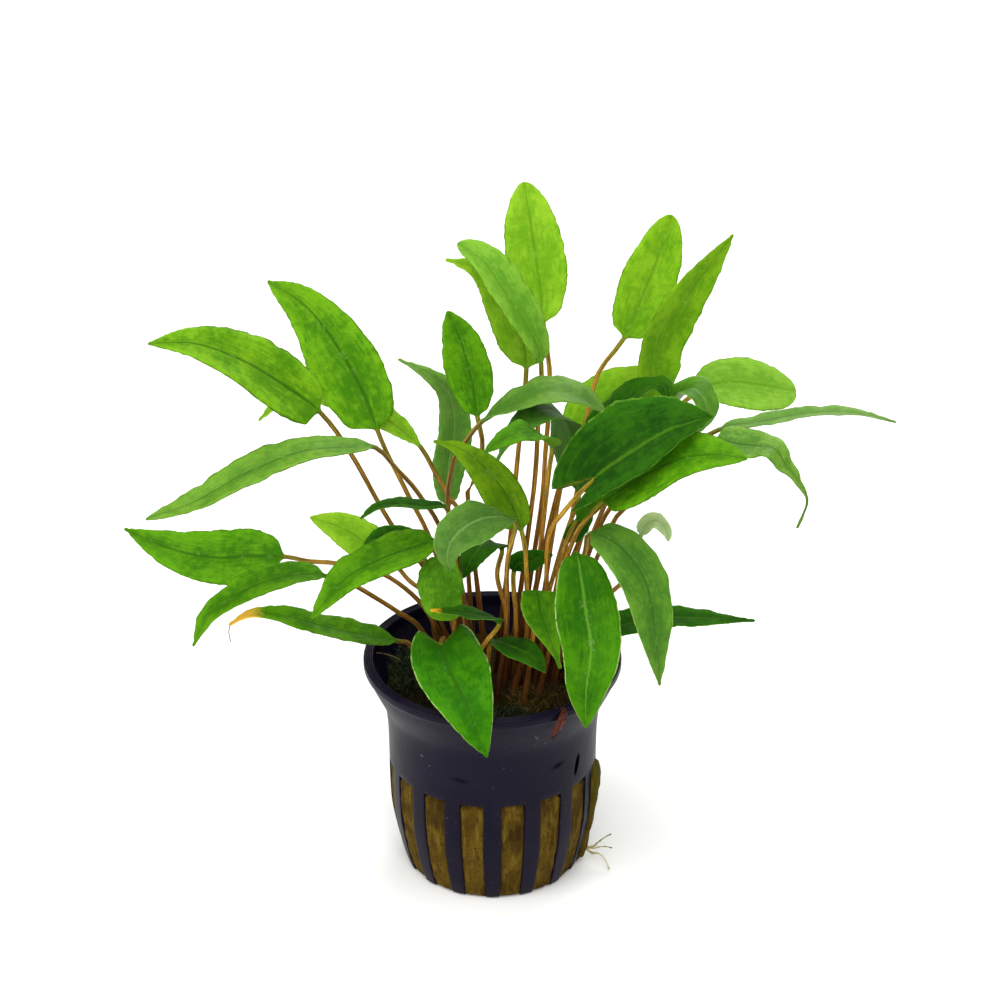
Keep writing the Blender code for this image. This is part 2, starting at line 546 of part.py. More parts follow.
def blade_ring(leaf, centre, heading, side, upper, share):
    fold = math.radians(leaf["fold"])
    full = leaf.get("full", (BASE_FULLNESS, TIP_FULLNESS))
    half = max(leaf["width"] / 2 * outline(share, full), TIP_HALF_WIDTH)
    back = heading * leaf.get("lobe", 0) * max(0.0, 1 - share / LOBE_REACH) ** 2
    taper = min(1.0, 0.5 + (1 - share) * 2)
    edge, rib = upper * EDGE_THICKNESS / 2 * taper, upper * RIB_THICKNESS / 2 * taper
    left, right = (
        centre + (side * sign * math.cos(fold) + upper * math.sin(fold)) * half * part - back
        for sign, part in zip((-1, 1), leaf.get("sides", (1, 1)))
    )
    return [left + edge, centre + rib, right + edge, right - edge, centre - rib, left - edge]


def make_root(name, points, group, material):
    curve = bpy.data.curves.new(name, "CURVE")
    curve.dimensions = "3D"
    curve.bevel_depth = ROOT_RADIUS * MM
    curve.bevel_resolution = 1
    curve.use_fill_caps = True
    spline = curve.splines.new("POLY")
    spline.points.add(len(points) - 1)
    for spot, point in zip(spline.points, points):
        spot.co = (*(Vector(point) * MM), 1.0)
    root = bpy.data.objects.new(name, curve)
    curve.materials.append(material)
    group.objects.link(root)
    return root


def make_scrap(group, material):
    rings = []
    for k, (angle, radius, height) in enumerate(SCRAP_PATH):
        before = Vector(SCRAP_PATH[max(k - 1, 0)][1:])
        after = Vector(SCRAP_PATH[min(k + 1, len(SCRAP_PATH) - 1)][1:])
        way = (after - before).normalized()
        outward = Vector((-way.y, way.x)) * SCRAP_THICKNESS / 2
        ring = []
        for side, sign in ((-1, -1), (1, -1), (1, 1), (-1, 1)):
            r = radius + outward.x * sign
            z = height + outward.y * sign
            x, y = around(angle, r, side * SCRAP_WIDTHS[k] / 2)
            ring.append(Vector((x, y, z)))
        rings.append(ring)
    return loft("dead_leaf_scrap", rings, group, material)


def main():
    clear_scene()
    parts = new_collection("potted_cryptocoryne")
    tools = new_collection("cutters")
    make_pot(parts, tools)
    make_wool(parts, tools)
    greens = {shade: new_material("leaf_" + shade) for shade in ("bright", "mid", "dark", "pale")}
    for name, leaf in LEAVES.items():
        loft(name, leaf_rings(leaf), parts, greens[leaf["shade"]])
    root_material = new_material("root")
    for name, points in ROOTS.items():
        make_root(name, points, parts, root_material)
    make_scrap(parts, new_material("scrap"))


main()
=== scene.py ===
# Potted cryptocoryne: every surface of the plant, its wool plug and its slotted pot.
# The front looks along -Y and +X is to the right; the tables are in millimetres.
import random
from math import asin, cos, exp, hypot, pi, radians, sin, sqrt

import bmesh
import bpy
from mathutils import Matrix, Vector, noise


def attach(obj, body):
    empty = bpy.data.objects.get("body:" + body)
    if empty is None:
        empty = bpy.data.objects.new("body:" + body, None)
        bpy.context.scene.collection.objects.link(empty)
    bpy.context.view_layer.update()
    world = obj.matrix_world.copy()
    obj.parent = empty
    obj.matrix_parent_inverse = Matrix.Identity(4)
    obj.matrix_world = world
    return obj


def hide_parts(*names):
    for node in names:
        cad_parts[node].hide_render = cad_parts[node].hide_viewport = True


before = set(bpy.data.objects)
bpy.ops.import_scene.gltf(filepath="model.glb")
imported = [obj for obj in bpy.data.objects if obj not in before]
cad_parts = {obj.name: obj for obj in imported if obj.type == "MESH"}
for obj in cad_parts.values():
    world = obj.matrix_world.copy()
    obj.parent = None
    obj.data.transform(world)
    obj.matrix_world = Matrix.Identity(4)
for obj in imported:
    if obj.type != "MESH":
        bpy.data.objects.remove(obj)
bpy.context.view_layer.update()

mm = 0.001

studio = dict(
    aim=(1.6, 0, 86.9),  # where the camera looks
    distance=600,
    tilt=27.6,  # degrees down
    lens=104.3,
    floor=3000,
    floorTones=((0.93, 0.93, 0.93), (0.9, 0.9, 0.9)),
    sky=(1, 1, 0.96),
    skyStrength=0.2,
    lamps=[  # place, size, watts, colour
        dict(name="overhead", at=(-80, -200, 950), size=1200, power=13, colour=(1, 1, 0.98)),
        dict(name="behind", at=(300, 800, 600), size=800, power=5.5, colour=(1, 1, 0.97)),
        dict(name="left", at=(-800, -350, 350), size=500, power=3.6, colour=(1, 1, 0.99)),
        dict(name="front", at=(100, -900, 650), size=700, power=3.6, colour=(1, 1, 0.98)),
        dict(name="right", at=(700, -100, 200), size=500, power=0.8, colour=(1, 1, 0.98)),
    ],
)


def makeStudio():
    scene = bpy.context.scene
    scene.view_settings.view_transform = "Standard"
    tilt = radians(studio["tilt"])
    aim = Vector(studio["aim"]) * mm
    lens = bpy.data.cameras.new("camera")
    lens.lens = studio["lens"]
    lens.sensor_width = 36
    lens.clip_start, lens.clip_end = 0.05, 20
    camera = show("camera", lens)
    camera.location = aim - Vector((0, cos(tilt), -sin(tilt))) * studio["distance"] * mm
    camera.rotation_euler = (pi / 2 - tilt, 0, 0)
    scene.camera = camera
    for lamp in studio["lamps"]:
        light = bpy.data.lights.new(lamp["name"], "AREA")
        light.shape, light.size = "DISK", lamp["size"] * mm
        light.energy, light.color = lamp["power"], lamp["colour"]
        holder = show(lamp["name"], light)
        holder.location = Vector(lamp["at"]) * mm
        holder.rotation_euler = (aim - holder.location).to_track_quat("-Z", "Y").to_euler()
    world = bpy.data.worlds.new("studio")
    world.use_nodes = True
    sky = world.node_tree.nodes["Background"]
    sky.inputs["Color"].default_value = (*studio["sky"], 1)
    sky.inputs["Strength"].default_value = studio["skyStrength"]
    scene.world = world
    bm = bmesh.new()
    bmesh.ops.create_grid(bm, x_segments=1, y_segments=1, size=studio["floor"] * mm / 2)
    floor = newPiece("floor", bm, floorMaterial())


# Material helpers
class Signal:
    # a node's output; a sum, difference or product of signals makes the node that works it out
    def __init__(self, socket):
        self.socket = socket
        self.tree = socket.id_data

    def feed(self, node, key):
        self.tree.links.new(self.socket, node.inputs[key])

    def __add__(self, other):
        return calc("ADD", self, other)

    def __sub__(self, other):
        return calc("SUBTRACT", self, other)

    def __rsub__(self, other):
        return calc("SUBTRACT", other, self)

    def __mul__(self, other):
        return calc("MULTIPLY", self, other)

    def __rmul__(self, other):
        return calc("MULTIPLY", other, self)


def addNode(tree, kind, inputs=None, **settings):
    # an input that is a signal is linked, and any other is typed in
    node = tree.nodes.new(kind)
    for key, value in settings.items():
        setattr(node, key, value)
    for key, value in (inputs or {}).items():
        if isinstance(value, Signal):
            value.feed(node, key)
        else:
            node.inputs[key].default_value = value
    return node


def calc(operation, first, second, clamp=False):
    tree = (first if isinstance(first, Signal) else second).tree
    node = addNode(tree, "ShaderNodeMath", {0: first, 1: second}, operation=operation, use_clamp=clamp)
    return Signal(node.outputs[0])


def opaque(colour):
    return colour if isinstance(colour, Signal) else (*colour, 1.0)


def blend(share, first, second):
    # the first colour where share is 0, the second where it is 1
    inputs = {0: share, 6: opaque(first), 7: opaque(second)}
    return Signal(addNode(share.tree, "ShaderNodeMix", inputs, data_type="RGBA").outputs[2])


def band(value, low, high):
    # 0 below low, 1 above high, smooth between; the other way round when low is above high
    inputs = {0: value, 1: low, 2: high}
    node = addNode(value.tree, "ShaderNodeMapRange", inputs, interpolation_type="SMOOTHSTEP")
    return Signal(node.outputs[0])


def cloud(where, scale, detail=3.0, rough=0.5, stretch=None):
    if stretch:
        where = Signal(addNode(where.tree, "ShaderNodeMapping", {0: where, 3: stretch}).outputs[0])
    inputs = {0: where, "Scale": scale, "Detail": detail, "Roughness": rough}
    return Signal(addNode(where.tree, "ShaderNodeTexNoise", inputs).outputs[0])


def axes(where):
    # the three numbers of a place, each a signal
    return [Signal(output) for output in addNode(where.tree, "ShaderNodeSeparateXYZ", {0: where}).outputs]


def newMaterial(name, typed):
    # the material, its shader with those inputs typed in, and the place on the piece in metres
    material = bpy.data.materials.new(name)
    material.use_nodes = True
    shader = material.node_tree.nodes["Principled BSDF"]
    for key, value in typed.items():
        shader.inputs[key].default_value = value
    return material, shader, Signal(addNode(material.node_tree, "ShaderNodeTexCoord").outputs["Object"])


def finish(shader, colour, rough, height, depth):
    # depth is the bump's, in millimetres
    inputs = {"Height": height, "Distance": depth * mm, "Strength": 1.0}
    bump = addNode(shader.id_data, "ShaderNodeBump", inputs)
    Signal(bump.outputs[0]).feed(shader, "Normal")
    colour.feed(shader, "Base Color")
    rough.feed(shader, "Roughness")


def floorMaterial():
    material, shader, where = newMaterial("floor", {"Specular IOR Level": 0.2})
    tone = blend(cloud(where, 3), *studio["floorTones"])
    finish(shader, tone, cloud(where, 40) + 0.3, cloud(where, 900), 0.02)
    return material


# Shape helpers
def show(name, data):
    # a new object with that camera, lamp or mesh, in the scene
    thing = bpy.data.objects.new(name, data)
    bpy.context.scene.collection.objects.link(thing)
    return thing


def newPiece(name, bm, material):
    mesh = bpy.data.meshes.new(name)
    bm.to_mesh(mesh)
    bm.free()
    mesh.shade_smooth()
    mesh.materials.append(material)
    return show(name, mesh)


def addPiece(name, bm, material, slotName, *nodes):
    # a piece of the plant or its pot, which stands for those nodes
    bmesh.ops.recalc_face_normals(bm, faces=bm.faces)
    piece = newPiece(name, bm, material)
    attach(piece, "root")
    if nodes:
        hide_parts(*nodes)
    return piece


def skin(bm, rings, isClosed=True):
    # faces from each ring of points to the next, and over both ends
    for here, there in zip(rings, rings[1:]):
        for i in range(len(here)):
            after = (i + 1) % len(here)
            bm.faces.new((here[i], here[after], there[after], there[i]))
    if isClosed:
        bm.faces.new(rings[0])
        bm.faces.new(rings[-1])


def strand(bm, points, radii, sides):
    # a closed tube along the points
    rings = []
    for k, point in enumerate(points):
        heading = (points[min(k + 1, len(points) - 1)] - points[max(k - 1, 0)]).normalized()
        if rings:
            side = (side - heading * side.dot(heading)).normalized()
        else:
            side = heading.orthogonal().normalized()
        upper = side.cross(heading)
        turns = [2 * pi * i / sides for i in range(sides)]
        ring = [point + (side * cos(t) + upper * sin(t)) * radii[k] for t in turns]
        rings.append([bm.verts.new(spot * mm) for spot in ring])
    skin(bm, rings)


def along(points, place):
    # a smooth curve through the points; place counts them, and 0 is the first
    last = len(points) - 1
    k = min(int(place), last - 1)
    u = place - k
    a, b, c, d = (points[min(max(k + step, 0), last)] for step in (-1, 0, 1, 2))
    if k == 0:
        a = b * 2 - c
    if k == last - 1:
        d = c * 2 - b
    return (b * 2 + (c - a) * u + (a * 2 - b * 5 + c * 4 - d) * u**2 + (b * 3 - a - c * 3 + d) * u**3) * 0.5


def smoothRows(points, steps):
    # the same line with more points on it
    knots = [Vector(point) for point in points]
    return [along(knots, i / steps) for i in range((len(knots) - 1) * steps + 1)]


def smooth(value, low, high):
    u = min(max((value - low) / (high - low), 0.0), 1.0)
    return u * u * (3 - 2 * u)


def wave(*spot):
    # smooth noise at that spot, between -1 and 1
    return noise.noise(Vector(spot))


def around(turn, radius, height):
    # a point that far round the pot from the front
    return Vector((sin(turn) * radius, -cos(turn) * radius, height)) * mm


# Each leaf: foot is where its stalk leaves the wool (x, y), stalk the points its stalk passes,
# rib the middle of its blade from base to tip, width the blade's width across the widest place.
# face is the way the upper side looks, as degrees round from the front towards the right and
# degrees up, spread evenly from base to tip; fold is how far the two halves are folded up.
# lobe is how far a heart-shaped base hangs back, full the outline's two powers, and sides how
# much of its half width each side of the blade has, left and right of the rib seen from the foot.
# tip is the share of the blade where a withered end begins, and its colour; shred is a thread
# that hangs from the tip; tones are the leaf's own in place of its shade's, and like the shades
# they are partly painted light and shade.
leaves = {
    "leaf_left_high": dict(
        foot=(-7, 2), stalk=[(-10, 2, 62), (-21, 2, 80), (-29, 1, 97)],
        rib=[(-35, 0, 107), (-42, -2, 114), (-50, -5, 121), (-59, -8, 126), (-68, -10, 127)],
        width=14.4, face=[(-10, 60)], full=(0.42, 0.92), sides=(1.1, 1), shade="mid",
        tones=dict(light=(0.155, 0.33, 0.008), deep=(0.05, 0.17, 0.002))),
    "leaf_left_broad": dict(
        foot=(-5.5, 5), stalk=[(-12, 6, 71), (-18, 9, 84), (-22, 11, 92)],
        rib=[(-24, 12, 97), (-27, 15, 104.5), (-32.5, 19, 113.5), (-39, 23, 120.5), (-47, 26, 125)],
        width=15, face=[(-10, 35)], full=(0.4, 0.82), sides=(1.06, 0.9), shade="mid",
        tones=dict(light=(0.125, 0.29, 0.005), deep=(0.03, 0.135, 0.001))),
    "leaf_left_drooping": dict(
        foot=(-3, -1), stalk=[(-9.5, -1.5, 77), (-15, -4.5, 90.5), (-19.5, -6.5, 97.5)],
        rib=[(-23.5, -8, 103), (-29.5, -10, 104), (-38.5, -13, 104.5), (-49.5, -17, 101.5), (-59, -20, 97),
            (-69, -22, 94)],
        width=10, face=[(0, 85), (-20, 80)], fold=12, full=(0.5, 0.62), sides=(1.12, 0.92), shade="mid",
        tones=dict(light=(0.125, 0.265, 0.015), deep=(0.055, 0.16, 0.005), gloss=0.2)),
    "leaf_left_hidden": dict(
        foot=(-4, 8), stalk=[(-6, 8, 76), (-9, 10, 82), (-12, 12, 87)],
        rib=[(-15, 14, 92), (-19.5, 16, 95.5), (-27, 19, 99), (-36.5, 22, 101), (-44, 24, 99),
            (-50, 25, 93)],
        width=7, face=[(0, 60)], full=(0.75, 1), shade="bright"),
    "leaf_left_back": dict(
        foot=(-9, 6), stalk=[(-14, 6, 57), (-23, 11, 63), (-33, 16, 63), (-40, 19, 62)],
        rib=[(-45, 21, 62), (-53, 24, 60.5), (-61, 27, 58.5), (-71, 30, 59), (-81.5, 33, 62.5)],
        width=13, face=[(18, 40)], fold=8, full=(0.52, 0.95), shade="mid"),
    "leaf_left_arched": dict(
        foot=(-9.5, -1), stalk=[(-15, -2, 57), (-20, -3, 62), (-24, -3, 65), (-30, -3, 69)],
        rib=[(-34.5, -3, 70.5), (-40, -4, 71.5), (-48, -7, 71), (-54, -10, 69), (-59, -12, 65.5),
            (-62, -14, 60)],
        width=8.5, face=[(-10, 80), (-50, 40)], fold=12, shade="mid"),
    "leaf_left_front": dict(
        foot=(-6, -4), stalk=[(-9, -6, 67), (-10, -8, 77)],
        rib=[(-11.5, -9, 82), (-16.5, -11, 81.5), (-23, -15, 81), (-29.5, -19, 79), (-33.5, -22, 75.5),
            (-36.5, -25, 73)],
        width=10, face=[(0, 65), (-35, 50)], full=(0.45, 0.85), shade="mid"),
    "leaf_left_small": dict(
        foot=(-11, 1.5), stalk=[(-13, -1, 62)],
        rib=[(-14.5, -2, 75.5), (-19, -3.5, 79), (-23, -4.5, 80), (-27, -6, 78.5)],
        width=7, face=[(0, 60)], shade="dark"),
    "leaf_left_bright": dict(
        foot=(-8, 8.5), stalk=[(-13, 10, 57), (-18, 14, 60)],
        rib=[(-21, 17, 62), (-27, 21, 65), (-33, 25, 67), (-40, 28, 68)],
        width=9, face=[(10, 45)], fold=8, shade="bright"),
    "leaf_left_narrow": dict(
        foot=(-4, -6.5), stalk=[(-7, -8, 77), (-8, -8.5, 85)],
        rib=[(-9.5, -9, 90), (-13.5, -10, 90.5), (-19, -12, 92), (-23, -14, 92.5), (-26.5, -16, 91)],
        width=5, face=[(0, 88), (0, 80)], fold=15, shade="dark"),
    "leaf_left_yellow_tip": dict(
        foot=(-12, -3), stalk=[(-17, -4, 54)],
        rib=[(-20, -5, 56), (-26.5, -7, 58.5), (-34, -9, 61.5), (-43, -11, 65.5), (-50, -12, 66.5),
            (-54.5, -13, 64.5)],
        shred=[(-54.2, -13, 64.6), (-54.5, -13.2, 62.8), (-54.2, -13.2, 60.6)],
        width=6.8, face=[(0, 75), (0, 70)], full=(0.5, 1), shade="mid", tip=(0.78, (0.75, 0.42, 0.05))),
    "leaf_hooked": dict(
        foot=(-6.5, 11), stalk=[(-9, 14, 65)],
        rib=[(-9.5, 17, 76), (-9.5, 18, 84.5), (-8, 18, 94), (-9, 17, 103), (-13.5, 15, 108.5),
            (-19.5, 13, 113)],
        width=7.5, face=[(10, 5), (10, 10), (-20, 70)], full=(0.5, 1), shade="bright",
        tones=dict(light=(0.15, 0.3, 0.04), deep=(0.07, 0.2, 0.015), rib=(0.2, 0.34, 0.08), gloss=0.2)),
    "leaf_upright": dict(
        foot=(-1, 2), stalk=[(-5, 2, 85), (-4, 1, 90), (-2, 0, 99)],
        rib=[(-3, 0, 106), (-4, 2, 112), (-6, 4, 120), (-9, 6, 127)],
        width=9.5, face=[(0, 15)], full=(0.55, 0.7), shade="mid"),
    "leaf_olive": dict(
        foot=(4, -8), stalk=[(7, -8, 58), (7, -10, 76)],
        rib=[(6, -10, 85), (3, -8, 92), (-2, -6, 98), (-7, -4, 101), (-12, -3, 102)],
        width=8.6, face=[(0, 45), (0, 50)], fold=8, full=(0.5, 1.15), sides=(1.15, 0.85), shade="mid",
        tooth=0.04, tones=dict(light=(0.12, 0.235, 0.004), deep=(0.05, 0.125, 0.001))),
    "leaf_front_pale": dict(
        foot=(1, -6), stalk=[(3, -8, 61), (3, -11, 77), (4, -13, 84)],
        rib=[(4.5, -15, 90), (-1.2, -19, 92.8), (-6.3, -23, 92), (-8.7, -27, 89.8), (-8.5, -29, 86)],
        width=11.4, face=[(0, 80), (-15, 15)], fold=5, full=(0.88, 0.95), sides=(0.92, 0.84), shade="pale",
        tones=dict(light=(0.076, 0.178, 0.015), deep=(0.03, 0.105, 0.005), gloss=0.17)),
    "leaf_front_arched": dict(
        foot=(2.5, -3), stalk=[(3, -2.5, 60), (1, -2, 70)],
        rib=[(2, -3, 77), (-1, -6, 80), (-4, -10, 79), (-6, -12, 75)],
        width=7, face=[(170, 60), (0, 75), (0, 40)], shade="dark"),
    "leaf_front_dark": dict(
        foot=(4.6, -4.8), stalk=[(5, -4.5, 60)],
        rib=[(4.5, -4.5, 72.5), (8, -4.5, 75), (12.5, -4.5, 76.5)],
        width=5, face=[(0, 45)], shade="dark"),
    "leaf_front_crumpled": dict(
        foot=(-6.5, -8), stalk=[(-8, -10.5, 66)],
        rib=[(-9.5, -12, 79), (-10.5, -14.5, 76.5), (-10, -16, 72), (-7.5, -16.5, 68)],
        width=9.5, face=[(170, 70), (-10, 60), (-10, 20)], fold=5, full=(0.4, 0.5), shade="dark",
        tones=dict(light=(0.1, 0.26, 0.008), deep=(0.03, 0.12, 0.002))),
    "leaf_front_strip": dict(
        foot=(-3, -11), stalk=[(-3, -13, 57)],
        rib=[(1.5, -14.5, 66), (-3.5, -18.5, 70), (-8.5, -21.5, 72.5), (-12.5, -22.5, 73.5)],
        width=5, face=[(150, 60), (0, 80), (0, 80)], shade="dark", tip=(0.86, (0.6, 0.34, 0.02))),
    "leaf_front_heart": dict(
        foot=(-9, -6.5), stalk=[(-10, -8.5, 54), (-10, -11, 60)],
        rib=[(-10.5, -14, 60.5), (-9, -20, 58.5), (-5.5, -28, 55), (-2.5, -32, 48.5), (-1, -33, 45)],
        width=14.6, face=[(-10, 70), (-10, 25)], fold=5, lobe=6, full=(0.3, 0.92), sides=(1.12, 0.95),
        shade="mid", tooth=0.04, tones=dict(light=(0.042, 0.188, 0.001), deep=(0.012, 0.096, 0.0004),
            margin=(0.3, 0.45, 0.12), paintedGlint=(0.16, 0.36, 0.08))),
    "leaf_front_low": dict(
        foot=(-2, -8), stalk=[(-1, -8, 53)],
        rib=[(0, -10, 59), (4, -14, 60), (8, -18, 60), (11, -21, 58)],
        width=7, face=[(170, 70), (20, 60), (20, 60)], fold=8, shade="dark"),
    "leaf_front_short": dict(
        foot=(6.5, -12), stalk=[(8.5, -11, 61)],
        rib=[(9, -12.5, 72), (10, -16, 69), (12, -20, 65), (14, -23, 60)],
        width=10, face=[(170, 60), (-10, 50), (-10, 30)], fold=8, full=(0.25, 1.35), sides=(1, 0.82),
        shade="mid", tooth=0.04, tones=dict(margin=(0.28, 0.42, 0.1))),
    "leaf_front_broad": dict(
        foot=(9, -11), stalk=[(13, -11, 63), (15.5, -12, 75)],
        rib=[(17, -14, 82), (18, -19, 79), (19, -23, 73), (20, -27, 67), (19, -31, 60), (19, -33, 52)],
        width=13.2, face=[(170, 75), (0, 50), (0, 15)], fold=8, sides=(1, 0.97), shade="mid", tooth=0.04,
        tones=dict(light=(0.048, 0.175, 0.0006), deep=(0.012, 0.085, 0.0003), margin=(0.32, 0.46, 0.14),
            rib=(0.1, 0.26, 0.02), paintedGlint=(0.26, 0.45, 0.12))),
    "leaf_front_drooping": dict(
        foot=(12, -8.5), stalk=[(16.5, -8, 67), (19, -10, 80)],
        rib=[(20, -12, 85.5), (26, -16, 84.5), (31, -21, 79), (33, -25, 69), (34, -28, 59)],
        width=12, face=[(10, 70), (30, 20)], fold=8, full=(0.48, 0.95), sides=(0.86, 0.98), shade="mid",
        tooth=0.05, tones=dict(light=(0.088, 0.215, 0.011), deep=(0.028, 0.115, 0.003),
            margin=(0.22, 0.36, 0.08), gloss=0.17)),
    "leaf_top": dict(
        foot=(5, 5), stalk=[(10, 5, 81), (11, 9, 92), (12, 14, 108)],
        rib=[(10.5, 18, 118.5), (10, 21, 125), (8.5, 25, 134.5), (6.5, 30, 145.5)],
        width=12.2, face=[(0, 20)], fold=6, full=(0.5, 0.56), shade="bright"),
    "leaf_top_folded": dict(
        foot=(3.5, 1.5), stalk=[(8, 3, 82), (9, 4, 92), (9.5, 4, 104)],
        rib=[(10, 4, 116), (7.5, 4, 123.5), (2.5, 5, 131.5), (-2, 7, 137.5), (-7, 9, 140.5)],
        width=10, face=[(45, 30)], fold=22, full=(0.55, 0.55), shade="bright",
        tones=dict(light=(0.18, 0.365, 0.032), deep=(0.075, 0.23, 0.012))),
    "leaf_top_whip": dict(
        foot=(1, 4), stalk=[(4, 3.5, 79), (5, 5, 91), (6, 6.5, 102)],
        rib=[(7, 8, 113), (6, 9, 120), (2.5, 11, 128), (-2.5, 12, 133.5), (-9.5, 12.5, 135.5)],
        width=11, face=[(-10, 30)], fold=8, full=(0.55, 1.2), shade="bright"),
    "leaf_arching": dict(
        foot=(-3, 4), stalk=[(-9, 3, 81), (-8, 1, 95), (-6, -1, 100)],
        rib=[(-2, -3, 106.5), (3.5, -5, 111), (10.5, -6, 114.5), (17.5, -6, 113.5), (23, -6, 110)],
        width=10.4, face=[(0, 80), (0, 85)], full=(0.8, 0.7), shade="dark",
        tones=dict(light=(0.11, 0.225, 0.026), deep=(0.034, 0.12, 0.006), gloss=0.2)),
    "leaf_turned_over": dict(
        foot=(7, 1.5), stalk=[(14.5, 3, 74)],
        rib=[(18, 1.5, 87.5), (17, 0, 98), (15, -2, 106.5), (10, -5.5, 110), (4.5, -8.5, 107),
            (1, -11, 101.5)],
        width=13, face=[(150, 20), (0, 85), (-40, 20)], fold=8, full=(0.45, 1.1), shade="dark",
        tones=dict(light=(0.055, 0.155, 0.012), deep=(0.016, 0.082, 0.003), gloss=0.12)),
    "leaf_curly": dict(
        foot=(7, -3), stalk=[(10, -1.5, 76), (11.5, -6, 96)],
        rib=[(12, -11.5, 105), (10, -15.5, 109.5), (5.5, -18.5, 111.5), (1.5, -20.5, 110.5),
            (-1.5, -21.5, 108.5)],
        width=7, face=[(150, 45), (0, 75), (0, 70)], shade="mid", tones=dict(light=(0.06, 0.19, 0.004),
            deep=(0.018, 0.09, 0.001))),
    "leaf_right_dark": dict(
        foot=(9, -6), stalk=[(11, -8, 65), (11.5, -11, 83.5), (14, -12.5, 90)],
        rib=[(20.5, -14, 99), (26.5, -14, 104), (34.5, -13, 109), (39.5, -13, 111), (44, -12, 112)],
        width=20.6, face=[(-10, 28), (-10, 45)], fold=12, lobe=10, full=(0.43, 0.85), sides=(1, 0.5),
        shade="dark"),
    "leaf_right_low": dict(
        foot=(10.5, -4), stalk=[(14, -6, 70), (17, -8.5, 83), (20, -9, 88)],
        rib=[(22.5, -10, 91.5), (29, -12, 97.5), (36.5, -15, 103.5), (43.5, -18, 106.5),
            (50.5, -20, 106.5)],
        width=13.4, face=[(0, 60)], full=(0.52, 0.78), shade="mid"),
    "leaf_right_sliver": dict(
        foot=(9.7, -1.2), stalk=[(14.5, -4, 75)],
        rib=[(17.5, -4.5, 84.5), (21.5, -5.5, 90), (26.5, -6.5, 97)],
        width=5, face=[(-40, 35)], shade="mid"),
    "leaf_right_young": dict(
        foot=(6, -0.7), stalk=[(12.5, -0.5, 68)],
        rib=[(15.5, -1, 77.5), (18, -0.5, 80.5), (21, 0, 84)],
        width=4, face=[(0, 30)], shade="dark"),
    "leaf_right_behind": dict(
        foot=(9, 8.5), stalk=[(14, 12, 81)],
        rib=[(17, 18, 90.5), (23, 22, 98.5), (30.5, 25, 102), (36.5, 27, 103)],
        width=12, face=[(10, 40)], fold=8, shade="bright"),
    "leaf_right_domed": dict(
        foot=(10, 2), stalk=[(17.5, 7, 84)],
        rib=[(20, 7, 97.5), (25, 4.5, 105), (31, 1, 111.5), (34.5, -2, 114), (35.5, -4, 111.5)],
        width=11, face=[(-10, 60), (0, 80)], fold=8, shade="dark"),
    "leaf_right_curled": dict(
        foot=(11.5, 5.5), stalk=[(24, 5.5, 84)],
        rib=[(35, 8, 99), (38, 6, 107), (41, 3, 111), (43.5, 0, 109), (43, -2, 106), (40.5, -3, 103)],
        width=9, face=[(-60, 30), (0, 80), (80, 20)], fold=8, shade="pale",
        tones=dict(light=(0.085, 0.215, 0.012), deep=(0.035, 0.13, 0.004), under=(0.1, 0.235, 0.015),
            gloss=0.15)),
    "leaf_right_tall": dict(
        foot=(8.5, 4.5), stalk=[(17, 8, 69), (25, 11, 87)],
        rib=[(32.5, 12.5, 102), (35, 16, 115), (40, 18, 124.5), (45.5, 20, 132), (49.5, 21, 137.5)],
        width=11, face=[(35, 20)], full=(0.4, 0.85), shade="bright", tones=dict(light=(0.165, 0.33, 0.007),
            deep=(0.068, 0.2, 0.002))),
    "leaf_right_broad": dict(
        foot=(6, 8), stalk=[(13.5, 9, 83), (19, 14, 96), (22, 18, 107)],
        rib=[(27.5, 21, 114), (31, 25, 121), (34.5, 29, 128.5), (37.5, 33, 137)],
        width=11.5, face=[(0, 30)], fold=6, full=(0.42, 0.56), shade="bright",
        tones=dict(light=(0.19, 0.36, 0.01), deep=(0.08, 0.225, 0.003))),
    "leaf_right_oval": dict(
        foot=(12, 8), stalk=[(22, 14, 80), (35, 18, 95)],
        rib=[(43, 20, 102), (49, 23, 103), (57, 26, 101), (65, 29, 98)],
        width=11.6, face=[(20, 50)], fold=5, full=(0.5, 0.5), sides=(1, 1.15), shade="bright",
        tones=dict(light=(0.2, 0.375, 0.035), deep=(0.105, 0.26, 0.015))),
    "leaf_right_thin": dict(
        foot=(12.5, 2), stalk=[(23, 2, 81), (35, 3.5, 93)],
        rib=[(46.5, 5, 100.5), (55.5, 7, 101.5), (66, 9, 102.5), (75.5, 11, 101.5), (84.5, 13, 98.5)],
        width=5, face=[(0, 85)], shade="mid", tones=dict(light=(0.15, 0.28, 0.05), deep=(0.075, 0.19, 0.02),
            margin=(0.06, 0.12, 0.02), gloss=0.12)),
    "leaf_right_bent": dict(
        foot=(12, -2), stalk=[(24, -3, 81), (30, -4, 89), (38, -5, 98)],
        rib=[(45, -6, 103.5), (50, -7, 103.3), (54.2, -9, 103.8), (57, -11, 104), (59, -12, 101.2),
            (61.2, -13, 98.5), (63.6, -14, 94), (61.8, -14, 87.8)],
        width=9.5, face=[(0, 75), (30, 60), (95, 5)], full=(0.45, 2.2), sides=(0.9, 1.15), shade="mid",
        tones=dict(light=(0.14, 0.275, 0.025), deep=(0.048, 0.155, 0.006), gloss=0.18)),
    "leaf_right_level": dict(
        foot=(14.5, 0), stalk=[(19, 0, 51)],
        rib=[(23, 2, 54), (34, 6, 55), (45, 10, 53), (57, 14, 50)],
        width=7.8, face=[(0, 75)], fold=8, full=(0.38, 1), shade="dark",
        tones=dict(light=(0.026, 0.12, 0.0008), deep=(0.007, 0.058, 0.0004), gloss=0.03)),
    "leaf_right_torn": dict(
        foot=(14.5, 4), stalk=[(22, 4, 59), (28, 4, 66)],
